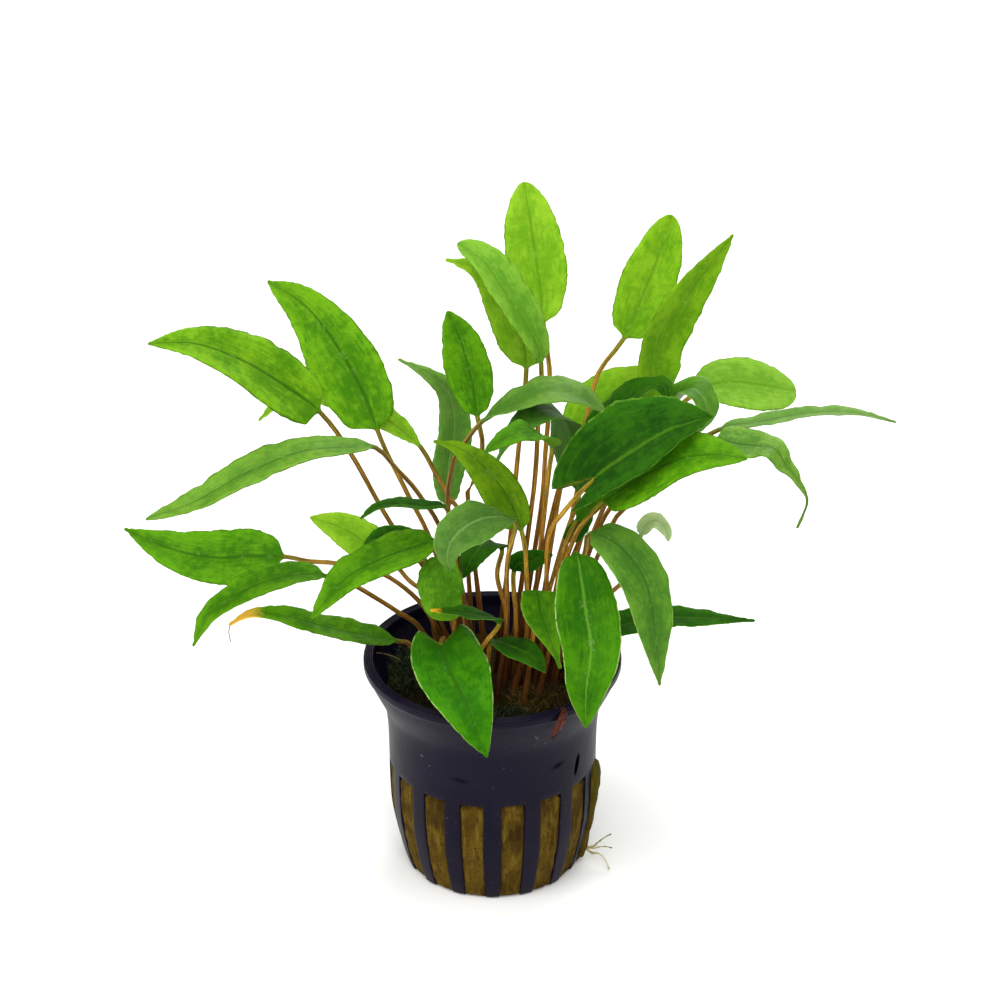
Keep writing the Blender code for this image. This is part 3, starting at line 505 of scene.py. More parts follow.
        rib=[(31.2, 4, 76.5), (32.2, 4, 79), (34, 4, 80), (35.6, 4, 79), (36.6, 3.5, 77.5), (37, 3, 75.5)],
        width=3.6, face=[(0, 45), (0, 50), (30, 40)], fold=5, full=(0.4, 0.6), shade="pale",
        tones=dict(light=(0.5, 0.6, 0.32), deep=(0.32, 0.45, 0.17))),
}


# Leaf blades and stalks: thin blades on round stalks, with a rib under the middle and a rippled margin
leafShape = dict(
    stalkRings=26,
    bladeRings=90,
    measureSteps=60,  # steps in which the length of a stalk or a blade is measured
    halfPoints=20,  # points over each face of the blade, from margin to margin
    stalkRadius=0.5,
    footRadius=0.78,
    narrowsBy=0.45,  # share of the stalk over which the foot's radius goes down to the stalk's
    knobs=0.06,  # how uneven the stalk's radius is
    sunk=1.6,  # how far the stalk runs down into the wool
    bladeThick=0.3,
    marginThick=0.14,
    ribHeight=0.55,
    ribWidth=0.42,
    grooveDepth=0.14,
    fold=10,  # degrees
    nerves=4,  # nerves each side of the middle rib
    quilt=0.025,  # swelling between the nerves
    blendOver=0.06,  # share of the blade over which the stalk flattens into it
    lobeBlend=0.02,  # the same for a blade with a lobed base
    lobeReach=0.3,
    tipHalfWidth=0.42,
    shredRadius=0.11,  # of a withered thread that hangs from the tip
    full=(0.55, 0.85),
    ripple=0.7,
    crinkle=0.05,
    tooth=0.1,  # depth of the margin's fine teeth
    woolTop=43.3,
    stalkInSheet=0.4,  # share of the finish's height that the stalk takes up
)


def headingAt(points, place):
    step = 0.05
    ahead = along(points, min(place + step, len(points) - 1))
    return (ahead - along(points, max(place - step, 0))).normalized()


def evenPlaces(points, first, last, shares):
    # the places on the curve at those shares of its length from the first place to the last
    steps = leafShape["measureSteps"]
    fine = [first + (last - first) * i / steps for i in range(steps + 1)]
    spots = [along(points, place) for place in fine]
    run = [0.0]
    for here, there in zip(spots, spots[1:]):
        run.append(run[-1] + (there - here).length)
    places = []
    for share in shares:
        goal = share * run[-1]
        k = next((i for i in range(steps) if run[i + 1] >= goal), steps - 1)
        places.append(fine[k] + (fine[k + 1] - fine[k]) * (goal - run[k]) / (run[k + 1] - run[k]))
    return places


def looking(face):
    turn, rise = (radians(value) for value in face)
    return Vector((sin(turn) * cos(rise), -cos(turn) * cos(rise), sin(rise)))


def faceAt(faces, share):
    if len(faces) == 1:
        faces = faces * 2
    spot = share * (len(faces) - 1)
    k = min(int(spot), len(faces) - 2)
    return looking(faces[k]).slerp(looking(faces[k + 1]), spot - k)


def outline(share, full):
    # half the blade's width at that share of its length, as a share of the widest
    base, tip = full
    widest = base / (base + tip)
    return (share**base * (1 - share) ** tip) / (widest**base * (1 - widest) ** tip)


def leafFrames(leaf):
    # centre, heading, side and blade share of every ring, from the stalk's foot to the tip
    shape = leafShape
    foot = Vector((*leaf["foot"], shape["woolTop"]))
    points = [foot] + [Vector(p) for p in leaf["stalk"] + leaf["rib"]]
    base, last = len(leaf["stalk"]) + 1, len(points) - 1
    stalkShares = [i / shape["stalkRings"] for i in range(shape["stalkRings"])]
    even = [i / shape["bladeRings"] for i in range(shape["bladeRings"] + 1)]
    bladeShares = [0.35 * s + 0.65 * (1 - cos(pi * s)) / 2 for s in even]
    places = evenPlaces(points, 0, base, stalkShares) + evenPlaces(points, base, last, bladeShares)
    headings = [headingAt(points, place) for place in places]
    headings[0] = Vector((0, 0, 1))
    count = len(stalkShares)
    sides = [h.cross(faceAt(leaf["face"], s)).normalized() for h, s in zip(headings[count:], bladeShares)]
    for heading in reversed(headings[:count]):
        sides.insert(0, (sides[0] - heading * sides[0].dot(heading)).normalized())
    centres = [along(points, place) for place in places]
    centres.insert(0, centres[0] - Vector((0, 0, shape["sunk"])))
    headings.insert(0, headings[0])
    sides.insert(0, sides[0])
    return list(zip(centres, headings, sides, [0.0] * (count + 1) + bladeShares))


def sectionShares():
    # where the points stand from the left margin, -1, to the right, 1: closer by the rib and the margins
    count = leafShape["halfPoints"]
    shares = []
    for i in range(count + 1):
        t = 2 * i / count - 1
        shares.append(0.55 * t + 0.45 * t * abs(t) + 0.06 * sin(2 * pi * t))
    return shares


def halfWidth(leaf, share, a, waves):
    # half the blade's width on the side of a, with its slow waves, its notches and its fine teeth
    shape = leafShape
    wobble, notch, tooth = waves
    half = leaf["width"] / 2 * outline(share, leaf.get("full", shape["full"]))
    half *= leaf.get("sides", (1, 1))[0 if a < 0 else 1]
    half = half * (1 + 0.05 * wobble + 0.04 * notch) + leaf.get("tooth", shape["tooth"]) * 2 * tooth
    left = leaf["long"] * (1 - share) / shape["tipHalfWidth"]
    return max(half, shape["tipHalfWidth"] * min(left, 1.0) ** 0.5, 0.05)


def bladePoint(leaf, seed, ringFrame, a, under):
    # one point of the blade's upper or lower face
    centre, heading, side, share = ringFrame
    shape, upper = leafShape, side.cross(heading)
    fold = radians(leaf.get("fold", shape["fold"]))
    run = share * leaf["long"]
    flank = 3.0 if a < 0 else 9.0
    wobble = wave(run * 0.11, seed, flank)
    notch = wave(run * 0.33, seed, flank + 1)
    tooth = wave(run * 0.95, seed, flank + 2)
    tooth += 0.5 * wave(run * 2.3, seed, flank)
    reach = abs(a)
    half = halfWidth(leaf, share, a, (wobble, notch, tooth))
    x = half * a
    swing = shape["ripple"] * (wobble + 0.7 * notch) * sin(pi * share) ** 0.5
    lift = half * sin(fold) * (sqrt(reach**2 + 0.01) - 0.1) + swing * reach**2.5
    lift += shape["crinkle"] * wave(x * 0.7, run * 0.9, seed) * smooth(share, 0, 0.1)
    swell = abs(sin(reach * shape["nerves"] * pi)) * (1 - reach)
    lift += shape["quilt"] * swell * smooth(share, 0, 0.2)
    back = leaf.get("lobe", 0) * max(0.0, 1 - share / shape["lobeReach"]) ** 2 * reach**1.3
    rib = (1 - 0.8 * share) * exp(-((x / shape["ribWidth"]) ** 2))
    thick = shape["marginThick"] + (shape["bladeThick"] - shape["marginThick"]) * (1 - reach**4)
    if under:
        lift -= thick / 2 + shape["ribHeight"] * rib
    else:
        lift += thick / 2 - shape["grooveDepth"] * rib
    return centre + side * (x * cos(fold)) + upper * lift - heading * back


def makeLeaf(name, leaf):
    shape = leafShape
    seed = sum(ord(letter) for letter in name) * 0.37
    frames = leafFrames(leaf)
    blade = [f[0] for f in frames if f[3] > 0]
    leaf["long"] = sum((there - here).length for here, there in zip(blade, blade[1:]))
    across = sectionShares()
    count = len(across)
    bm = bmesh.new()
    layer = bm.loops.layers.uv.new("leaf")
    rows, heights = [], []
    for k, ringFrame in enumerate(frames):
        centre, heading, side, share = ringFrame
        upper = side.cross(heading)
        down = k / (shape["stalkRings"] + 1)
        narrowed = smooth(down, 0, shape["narrowsBy"])
        radius = shape["footRadius"] + (shape["stalkRadius"] - shape["footRadius"]) * narrowed
        radius *= 1 + shape["knobs"] * wave(seed, k * 0.35, 0)
        flat = smooth(share, 0, shape["lobeBlend" if "lobe" in leaf else "blendOver"])
        ring = []
        for j in range(2 * count):
            under = j >= count
            a = across[2 * count - 1 - j] if under else across[j]
            turn = pi * (0.5 - a * 0.49) * (-1 if under else 1)
            spot = centre + (side * cos(turn) + upper * sin(turn)) * radius
            if share > 0:
                spot = spot.lerp(bladePoint(leaf, seed, ringFrame, a, under), flat)
            ring.append(bm.verts.new(spot * mm))
        rows.append(ring)
        low = shape["stalkInSheet"]
        heights.append(low + (1 - low) * share if share > 0 else low * min(down, 1.0))
    places = [(a + 1) / 4 for a in across] + [0.5 + (1 - a) / 4 for a in reversed(across)]
    for k, (here, there) in enumerate(zip(rows, rows[1:])):
        for j in range(2 * count):
            after = (j + 1) % (2 * count)
            face = bm.faces.new((here[j], here[after], there[after], there[j]))
            left, right = places[j], places[after] if after else 1.0
            low, high = heights[k], heights[k + 1]
            for loop, spot in zip(face.loops, ((left, low), (right, low), (right, high), (left, high))):
                loop[layer].uv = spot
    bm.faces.new(rows[0])
    bm.faces.new(rows[-1])
    if "shred" in leaf:
        points = smoothRows(leaf["shred"], 4)
        strand(bm, points, [shape["shredRadius"]] * len(points), 6)
    addPiece(name + "_blade", bm, leafMaterial(name, leaf, seed), "leaf_" + leaf["shade"], name)


# Leaf finishes: upper side in two tones, underside, middle rib (partly painted groove shade), margin line
# and painted glints by the rib
# shades are partly the leaves' own greens and partly painted light: bright for upper leaves lit from
# behind, dark for low leaves in shade, and pale with a painted bluish sheen
leafTones = dict(
    bright=dict(light=(0.235, 0.415, 0.018), deep=(0.115, 0.28, 0.006), under=(0.19, 0.34, 0.012),
                rib=(0.085, 0.22, 0.004), margin=(0.1, 0.14, 0.01), paintedGlint=(0.3, 0.5, 0.06), rough=0.42),
    mid=dict(light=(0.09, 0.245, 0.003), deep=(0.024, 0.115, 0.0006), under=(0.09, 0.2, 0.01),
             rib=(0.02, 0.085, 0.001), margin=(0.06, 0.075, 0.006), paintedGlint=(0.19, 0.36, 0.06), rough=0.4),
    dark=dict(light=(0.02, 0.095, 0.001), deep=(0.0045, 0.038, 0.0005), under=(0.035, 0.11, 0.008),
              rib=(0.055, 0.15, 0.004), margin=(0.09, 0.2, 0.02), paintedGlint=(0.05, 0.15, 0.01), rough=0.42),
    pale=dict(light=(0.105, 0.21, 0.035), deep=(0.045, 0.13, 0.012), under=(0.12, 0.23, 0.05),
              rib=(0.13, 0.25, 0.05), margin=(0.22, 0.34, 0.1), paintedGlint=(0.2, 0.34, 0.1), rough=0.38,
              gloss=0.3),
)
# Stalk finish: tones from the foot up to the blade, then the left stalks' olive, the streaks and the
# painted shade down the sides
stalkTones = dict(
    upwards=[(0, (0.05, 0.014, 0.009)), (0.3, (0.24, 0.085, 0.014)), (0.6, (0.6, 0.28, 0.028)),
             (0.85, (0.62, 0.36, 0.045)), (1, (0.2, 0.27, 0.012))],
    olive=(0.14, 0.085, 0.014),
    streak=(0.05, 0.018, 0.005),
    # painted shade down each stalk's sides
    side=(0.06, 0.022, 0.006),
)


def stalkColour(where, sheet, height, reach):
    tones = stalkTones["upwards"]
    reached = leafShape["stalkInSheet"] + 0.01
    ramp = addNode(where.tree, "ShaderNodeValToRGB", {0: calc("DIVIDE", height, reached)})
    stops = ramp.color_ramp.elements
    for stop, tone in tones[1:-1]:
        stops.new(stop).color = opaque(tone)
    stops[0].color = opaque(tones[0][1])
    stops[-1].color = opaque(tones[-1][1])
    left = band(axes(where)[0], 0.002, -0.012)
    bark = blend(left * 0.5, Signal(ramp.outputs[0]), stalkTones["olive"])
    streaks = cloud(sheet, 1, 4, 0.7, stretch=(26, 26, 1))
    bark = blend(band(streaks, 0.45, 0.56) * 0.78, bark, stalkTones["streak"])
    # painted shade: the stalk darkens towards its sides, as if turned away from the light
    return blend(band(reach, 0.55, 1.0) * 0.75, bark, stalkTones["side"])


def leafMaterial(name, leaf, seed):
    # across the sheet go the upper side and then the underside, and up it the stalk and then the blade
    tones = dict(leafTones[leaf["shade"]], **leaf.get("tones", {}))
    material, shader, where = newMaterial(name + "_finish", {
        "Subsurface Weight": 0.25, "Subsurface Scale": 0.0012, "Subsurface Radius": (0.5, 1.0, 0.15),
        "Specular IOR Level": tones.get("gloss", 0.05),
    })
    sheet = Signal(addNode(where.tree, "ShaderNodeTexCoord").outputs["UV"])
    acrossSheet, height, _ = axes(sheet)
    turn = acrossSheet * 4.0
    under = calc("GREATER_THAN", turn, 2.0)
    reach = calc("PINGPONG", turn - 1.0, 1.0)
    low = leafShape["stalkInSheet"]
    share = calc("DIVIDE", height - low, 1 - low, clamp=True)
    patches = cloud(where, 150 + 15 * sin(seed), 4, 0.55)
    mottle = cloud(where, 650, 4, 0.6)
    grain = cloud(where, 2600, 2, 0.6)
    strokes = cloud(sheet, 1, 4, 0.65, stretch=(44, 12, 1))
    depth = band(reach, 0.95, 0.05) * 0.22
    for layer, weight in ((patches, 1.1), (mottle, 0.9), (strokes, 0.8), (1.0 - share, 0.2)):
        depth = depth + layer * weight
    body = blend(band(depth, 1.3, 1.9) * 0.9, tones["light"], tones["deep"])
    body = blend(band(grain, 0.55, 0.7) * 0.22, body, tones["deep"])
    warped = reach * leafShape["nerves"] + patches * 0.3
    nerve = band(calc("PINGPONG", warped, 0.5), 0.09, 0.0)
    body = blend(nerve * 0.16, body, tones["rib"])
    body = blend(under * 0.8, body, tones["under"])
    wavy = reach + (mottle - 0.5) * 0.09
    # rib line: a rib tone darker than the blade, as on bright and mid, is painted shade in the rib's
    # groove; a paler one is the rib's own colour
    body = blend(band(wavy + share * 0.02, 0.085, 0.02) * 0.75, body, tones["rib"])
    # painted glint: pale flecks beside the rib stand in for the leaf's shine
    paintedGlintMask = band(wavy, 0.24, 0.10) * band(mottle, 0.56, 0.66)
    body = blend(paintedGlintMask * 0.22, body, tones["paintedGlint"])
    rim = band(reach, 0.945, 0.985) * band(mottle, 0.38, 0.56)
    body = blend(rim * 0.9, body, tones["margin"])
    if "tip" in leaf:
        start, tone = leaf["tip"]
        body = blend(band(share + (mottle - 0.5) * 0.12, start, start + 0.1), body, tone)
    body = blend(band(height, low + 0.015, low), body, stalkColour(where, sheet, height, reach))
    bumps = grain * 0.3 + nerve * -0.15 + mottle * 1.3 + strokes * 0.9 + patches
    finish(shader, body, patches * 0.25 + tones["rough"], bumps, 0.17)
    return material


# Pot: a thin turned wall with a flared band, a flat lip and slots that run round the foot into the floor
potShape = dict(
    slots=16,
    firstSlot=11.25,  # degrees round from the front to the right
    slotTop=25.7,
    slotWidths=(4.6, 5.2),  # at the foot and at the top
    slotReach=15.2,  # how near the middle of the floor the slots come
    slotSteps=8,
    ribSteps=6,
    edgeStep=0.1,  # the first column in from a slot's edge
    wall=1,
    floor=1.2,
    floorRings=(0, 5, 10, 13, 15.2, 16.3, 17.2),
    floorEdge=17.8,
    floorStep=0.12,  # between the floor's inner rows by the corner
    floorGap=0.05,  # how far the wall's inner rows keep above the floor
    outer=[(19.2, 1.2), (19.5, 2), (20.1, 4), (21, 8), (22, 14), (22.3, 20),
           (22.36, 25.7), (22.4, 30), (22.55, 34), (22.85, 37.2), (23.3, 39.4), (24.05, 41.2),
           (25, 43.2), (26, 45.3), (26.9, 47.6)],
    corner=[(17.9, 0), (18.5, 0.12), (19, 0.5)],
    lip=[(27.05, 47.9), (27.4, 48.1), (27.5, 48.4), (27.5, 49.5), (27.42, 49.85), (27.15, 50)],
    lipTop=50,
    lipColumns=27,  # radius at which the lip's columns are spaced
    lipRidges=(26.8, 26.35, 25.9),
    ridgeDepth=0.3,
    ridgeHalf=0.14,
    lipInner=[(25.6, 49.95), (25.42, 49.7), (25.4, 49.2)],
    bevel=0.14,
    sharpAngle=50,  # edges that turn by more degrees than this are rounded
)


def potRows():
    # pairs of outer and inner (radius, height), from the floor's middle out and up to the lip
    shape = potShape
    rows = [(Vector((r, 0)), Vector((r, shape["floor"]))) for r in shape["floorRings"]]
    inner = shape["floorEdge"]
    for r, z in shape["corner"]:
        rows.append((Vector((r, z)), Vector((inner, shape["floor"]))))
        inner += shape["floorStep"]
    below = [p for p in shape["outer"] if p[1] <= shape["slotTop"]]
    above = [p for p in shape["outer"] if p[1] >= shape["slotTop"]]
    lowest = shape["floor"] + shape["floorGap"]
    for spot in smoothRows(below, 4) + smoothRows(above, 3)[1:]:
        rows.append((spot, Vector((spot.x - shape["wall"], max(spot.y, lowest)))))
    return rows


def isSlot(low, high):
    # whether the stretch between two rows lies in the slots' height
    return min(low.x, high.x) >= potShape["slotReach"] - 0.01 and high.y <= potShape["slotTop"] + 0.01


def ringAngles(radius, height, inSlot, between):
    # in each sector: columns across the slot, close together at its edges, then evenly across the rib
    foot, top = potShape["slotWidths"]
    width = foot + (top - foot) * smooth(height, 0, potShape["slotTop"])
    outer = max(radius, potShape["slotReach"])
    half = asin(width / 2 / outer)
    inner = 1 - potShape["edgeStep"] / outer / half
    first, pitch = radians(potShape["firstSlot"]), 2 * pi / potShape["slots"]
    sector = [-half] + [half * inner * (2 * i / (inSlot - 2) - 1) for i in range(inSlot - 1)]
    sector += [half + (pitch - 2 * half) * i / between for i in range(between)]
    return [first + k * pitch + angle for k in range(potShape["slots"]) for angle in sector]


def makePot():
    shape = potShape
    inSlot, between = shape["slotSteps"], shape["ribSteps"]
    sector = inSlot + between
    count = sector * shape["slots"]
    rows = potRows()
    bm = bmesh.new()
    outer, inner = [], []
    for out, into in rows:
        angles = ringAngles(out.x, out.y, inSlot, between)
        outer.append([bm.verts.new(around(t, out.x, out.y)) for t in angles])
        inner.append([bm.verts.new(around(t, into.x, into.y)) for t in angles])
    lip, top, half = list(shape["lip"]), shape["lipTop"], shape["ridgeHalf"]
    for r in shape["lipRidges"]:
        lip += [(r + half, top), (r, top - shape["ridgeDepth"]), (r - half, top)]
    lip += shape["lipInner"]
    angles = ringAngles(shape["lipColumns"], top, inSlot, between)
    lipRings = [[bm.verts.new(around(t, r, z)) for t in angles] for r, z in lip]
    skin(bm, [outer[-1]] + lipRings + [inner[-1]], isClosed=False)
    opened = [isSlot(low[0], high[0]) for low, high in zip(rows, rows[1:])]

    def isOpen(k, i):
        return 0 <= k < len(opened) and opened[k] and i % sector < inSlot

    for k in range(len(rows) - 1):
        for i in range(count):
            after = (i + 1) % count
            corners = ((k, i), (k, after), (k + 1, after), (k + 1, i))
            if not isOpen(k, i):
                bm.faces.new([outer[r][c] for r, c in corners])
                bm.faces.new([inner[r][c] for r, c in corners])
                continue
            sides = [
                (isOpen(k, i - 1), corners[0], corners[3]), (isOpen(k, i + 1), corners[1], corners[2]),
                (isOpen(k - 1, i), corners[0], corners[1]), (isOpen(k + 1, i), corners[3], corners[2]),
            ]
            for isAlsoOpen, (r, c), (s, d) in sides:
                if not isAlsoOpen:
                    bm.faces.new((outer[r][c], outer[s][d], inner[s][d], inner[r][c]))
    bmesh.ops.remove_doubles(bm, verts=bm.verts, dist=0.00001)
    pot = addPiece("slotted_pot", bm, potMaterial(), "pot", "pot")
    edges = pot.modifiers.new("Rounded edges", "BEVEL")
    edges.width, edges.segments = shape["bevel"] * mm, 2
    edges.limit_method, edges.angle_limit = "ANGLE", radians(shape["sharpAngle"])


# Marks on the front of the wall: place (x, z), half sizes, lean in degrees, the share that is solid,
# how ragged and how strong; a dull one takes the shine off as well
potMarks = [
    dict(at=(17.9, 30.8), size=(0.5, 3.1), lean=8, core=0.7, ragged=0.2, strength=1,
         colour=(0.0008, 0.0006, 0.0012), isDull=True),
    dict(at=(13.8, 33.2), size=(1.9, 1.1), lean=-25, core=0.3, ragged=1.2, strength=0.8,
         colour=(0.001, 0.0008, 0.0015), isDull=True),
    dict(at=(-7.4, 31.8), size=(2.6, 0.7), lean=5, core=0.3, ragged=1.4, strength=0.6,
         colour=(0.001, 0.0008, 0.0015), isDull=True),
    dict(at=(-14.8, 35.2), size=(0.5, 0.25), lean=20, core=0.4, ragged=1, strength=0.4,
         colour=(0.16, 0.14, 0.14)),
    dict(at=(-13.2, 33.4), size=(0.35, 0.2), lean=-30, core=0.4, ragged=1, strength=0.4,
         colour=(0.16, 0.14, 0.14)),
    dict(at=(11, 40.8), size=(0.3, 0.14), lean=35, core=0.4, ragged=1, strength=0.4,
         colour=(0.18, 0.16, 0.15)),
    dict(at=(9.2, 43.6), size=(0.22, 0.9), lean=-25, core=0.6, ragged=1.4, strength=0.35,
         colour=(0.14, 0.12, 0.12)),
]


def markShare(where, mark, scuffs):
    # 1 inside the mark and 0 outside it
    (x, z), (wide, tall) = mark["at"], mark["size"]
    placing = {0: where, 1: Vector((x, 0, z)) * mm, 2: (0, radians(mark["lean"]), 0),
               3: Vector((wide, 1, tall)) * mm}
    tilted = Signal(addNode(where.tree, "ShaderNodeMapping", placing, vector_type="TEXTURE").outputs[0])
    flat = addNode(where.tree, "ShaderNodeVectorMath", {0: tilted, 1: (1, 0, 1)}, operation="MULTIPLY")
    far = addNode(where.tree, "ShaderNodeVectorMath", {0: Signal(flat.outputs[0])}, operation="LENGTH")
    return band(Signal(far.outputs[1]) + (scuffs - 0.5) * mark["ragged"], 1.0, mark["core"])


def potMaterial():
    material, shader, where = newMaterial("dark_plastic", {"IOR": 1.18})
    haze, scuffs = cloud(where, 60, 5, 0.6), cloud(where, 420, 3, stretch=(1, 1, 0.25))
    specks = band(cloud(where, 1500, 1), 0.74, 0.8)
    body = blend(band(haze, 0.35, 0.7), (0.0026, 0.0015, 0.0085), (0.0058, 0.0036, 0.0150))
    body = blend(specks * 0.4, body, (0.12, 0.10, 0.13))
    front = band(axes(where)[1], 0.0, -0.002)
    shine = 0.5
    for mark in potMarks:
        share = markShare(where, mark, scuffs) * (front * mark["strength"])
        body = blend(share, body, mark["colour"])
        if mark.get("isDull"):
            shine = shine * (1.0 - share)
    shine.feed(shader, "Specular IOR Level")
    finish(shader, body, haze * 0.3 + 0.26, scuffs * 0.5 + haze, 0.08)
    return material


# Wool plug: flush with the pot's outside in the slots, swollen out of one of them, lumpy and with moss on
# top;
# its colour holds painted shade over the top and higher up the slots
woolShape = dict(
    top=43.2,
    shoulder=1.6,
    inSlot=16,
    between=10,
    innermost=4,  # radius where the underside's rings begin
    sideTop=41.5,
    clearance=0.12,
    topRings=46,
    topColumns=(22, 40),  # radius and height at which the top's columns are spaced
    lump=0.9,
    fuzz=0.3,
    streak=0.24,
    bulgeSlot=3,  # counted from the first slot round to the right
    bulge=[(0, 0.3), (2, 1.2), (3.5, 1.5), (6, 1), (8, 0.8), (9.5, 1.3), (11.5, 0.9), (14, 1.1),
           (17, 1.2), (21, 1.6), (23.5, 1.3), (25.7, 0.3)],  # height, how far it stands proud
)


def readTable(table, value):
    for (low, first), (high, second) in zip(table, table[1:]):
        if value <= high:
            return first + (second - first) * max(0.0, (value - low) / (high - low))
    return table[-1][1]


def woolSide(out, into, turn, inSlotShare, k):
    # radius and height of the plug's side: the share is 1 in a slot's clear width and 0 behind the wall
    shape = woolShape
    spot = around(turn, out.x, out.y) / mm
    fibre = wave(spot.x * 1.6, spot.y * 1.6, spot.z * 0.35)
    lumps = noise.noise(spot * 0.45)
    fine = noise.noise(spot * 3.1)
    proud = -shape["streak"] * (0.55 + 0.9 * fibre + 0.5 * lumps + 0.35 * fine)
    if k == shape["bulgeSlot"]:
        proud += readTable(shape["bulge"], out.y) * (1 + 0.25 * lumps)
    inside = into.x - shape["clearance"]
    flush = out.x - shape["clearance"] + max(proud, -0.8)
    height = max(out.y, potShape["floor"] + shape["clearance"])
    low = out.y + 0.15 + abs(proud) * 0.3 if out.y < 2 else out.y
    return inside + (flush - inside) * inSlotShare, height + (low - height) * inSlotShare


def makeWool():
    shape = woolShape
    inSlot, between = shape["inSlot"], shape["between"]
    sector = inSlot + between
    rows = [row for row in potRows() if row[0].y <= shape["sideTop"] and row[0].x > shape["innermost"]]
    bm = bmesh.new()
    rings = []
    for out, into in rows:
        clear = out.x >= potShape["slotReach"] + 0.3 and out.y <= potShape["slotTop"] - 0.2
        ring = []
        for i, turn in enumerate(ringAngles(out.x, out.y, inSlot, between)):
            isInSlot = clear and 1 <= i % sector <= inSlot - 1
            r, z = woolSide(out, into, turn, 1.0 if isInSlot else 0.0, i // sector)
            ring.append(bm.verts.new(around(turn, r, z)))
        rings.append(ring)
    edge = rows[-1][1].x - shape["clearance"]
    for k in range(shape["topRings"]):
        share = 1 - (k + 1) / (shape["topRings"] + 1)
        ring = []
        for turn in ringAngles(*shape["topColumns"], inSlot, between):
            spot = around(turn, edge * share, 0) / mm
            lumps = noise.noise(spot * 0.28) + 0.5 * noise.noise(spot * 0.7)
            fine = noise.noise(spot * 2.2) + 0.6 * noise.noise(spot * 5.1)
            z = shape["top"] - shape["shoulder"] * share**8 + shape["lump"] * lumps + shape["fuzz"] * fine
            ring.append(bm.verts.new(around(turn, edge * share, z)))
        rings.append(ring)
    skin(bm, rings)
    addPiece("wool_plug", bm, woolMaterial(), "wool", "mineral_wool")


def woolMaterial():
    material, shader, where = newMaterial("mineral_wool", {"Specular IOR Level": 0.05})
    x, y, z = axes(where)
    blotch = cloud(where, 170, 5, 0.6)
    fibres = cloud(where, 900, 4, 0.65, stretch=(1, 1, 0.16))
    crumbs = cloud(where, 1500, 3, 0.7)
    body = blend(band(blotch, 0.36, 0.66), (0.095, 0.056, 0.005), (0.05, 0.026, 0.0025))
    body = blend(band(fibres, 0.45, 0.7) * 0.8, body, (0.15, 0.098, 0.012))
    body = blend(band(crumbs, 0.44, 0.30) * 0.8, body, (0.02, 0.011, 0.003))
    # painted shade: dark patches that grow higher up the slots, towards the wall over their tops
    paintedShade = cloud(where, 260, 4, 0.6, stretch=(1, 1, 0.45)) + (z - 0.016) * 14
    body = blend(band(paintedShade, 0.51, 0.66) * 0.62, body, (0.024, 0.0105, 0.002))
    swollen = band(x, 0.0198, 0.0225) * (band(y, -0.0006, -0.002) * 0.45)
    body = blend(swollen, body, (0.085, 0.085, 0.008))
    # dark green over the top: moss, more of it on the left, and painted shade over the whole top, which
    # lies low in the pot under the leaves and rim
    left = band(x + blotch * 0.02, 0.008, -0.004)
    mossAndShade = band(z, 0.037, 0.041) * (left * 0.35 + 0.6)
    body = blend(mossAndShade, body, (0.014, 0.017, 0.005))
    finish(shader, body, blotch * 0.2 + 0.75, fibres + crumbs * 0.8, 0.5)
    return material


# Each tuft on the wool: middle and half sizes of its ground, how many strands, their length and thickness
tufts = {
    "moss_left": dict(at=(-18.8, 3), spread=(4.6, 10), count=900, tall=(1.2, 4.6), thick=0.09, tone="moss"),
    "moss_front": dict(at=(8, -15.5), spread=(11, 4), count=800, tall=(0.8, 2.8), thick=0.09, tone="moss"),
    "fibres_left": dict(at=(-13, -9.5), spread=(7, 6), count=420, tall=(1, 3), thick=0.08, tone="brown"),
    "fibres_middle": dict(at=(10, -11), spread=(6, 4.2), count=650, tall=(2.2, 5.6), thick=0.09,
                          tone="mustard"),
    "fibres_back": dict(at=(2, 12), spread=(15, 7), count=220, tall=(0.8, 2), thick=0.05, tone="brown"),
}
tuftTones = dict(
    moss=((0.01, 0.018, 0.006), (0.085, 0.105, 0.045)),
    brown=((0.016, 0.013, 0.005), (0.075, 0.06, 0.018)),
    mustard=((0.05, 0.034, 0.008), (0.2, 0.135, 0.028)),
    straw=((0.24, 0.18, 0.08), (0.12, 0.08, 0.03)),
)
tuftShape = dict(
    reach=20.6,  # how far from the pot's middle a strand may stand
    flare=0.5,  # how much farther for each millimetre up
    low=42.2,
    sunk=1,  # how far a strand's foot stands below the wool's top
    bow=0.6,
    thickShares=(0.7, 1.4),
    middleTall=1.1,
    edgeLoss=0.5,  # how much shorter the strands are at a tuft's edge
    knots=[(0, 0, 1), (0.3, 0.5, 1), (1, 0.85, 0.8), (1.6, 1, 0.3)],  # shares of lean, rise, thickness
    straws=[
        dict(thick=0.1, path=[(-25, 3, 48.4), (-23.3, 3, 48.2), (-21, 3, 47.4), (-19.5, 3.4, 46),
                              (-18.6, 3.8, 44)]),
        dict(thick=0.09, path=[(3, -17, 43.4), (5.5, -17.6, 44.6), (8.5, -16.8, 44.2)]),
        dict(thick=0.1, path=[(-12, -12, 43.2), (-9.5, -13.5, 44.6), (-7.2, -15.5, 43.8)]),
    ],
)


def within(point, reach):
    # the point, or the nearest to it that is no farther than that from the pot's middle
    far = max(hypot(point.x, point.y), reach)
    return Vector((point.x * reach / far, point.y * reach / far, point.z))


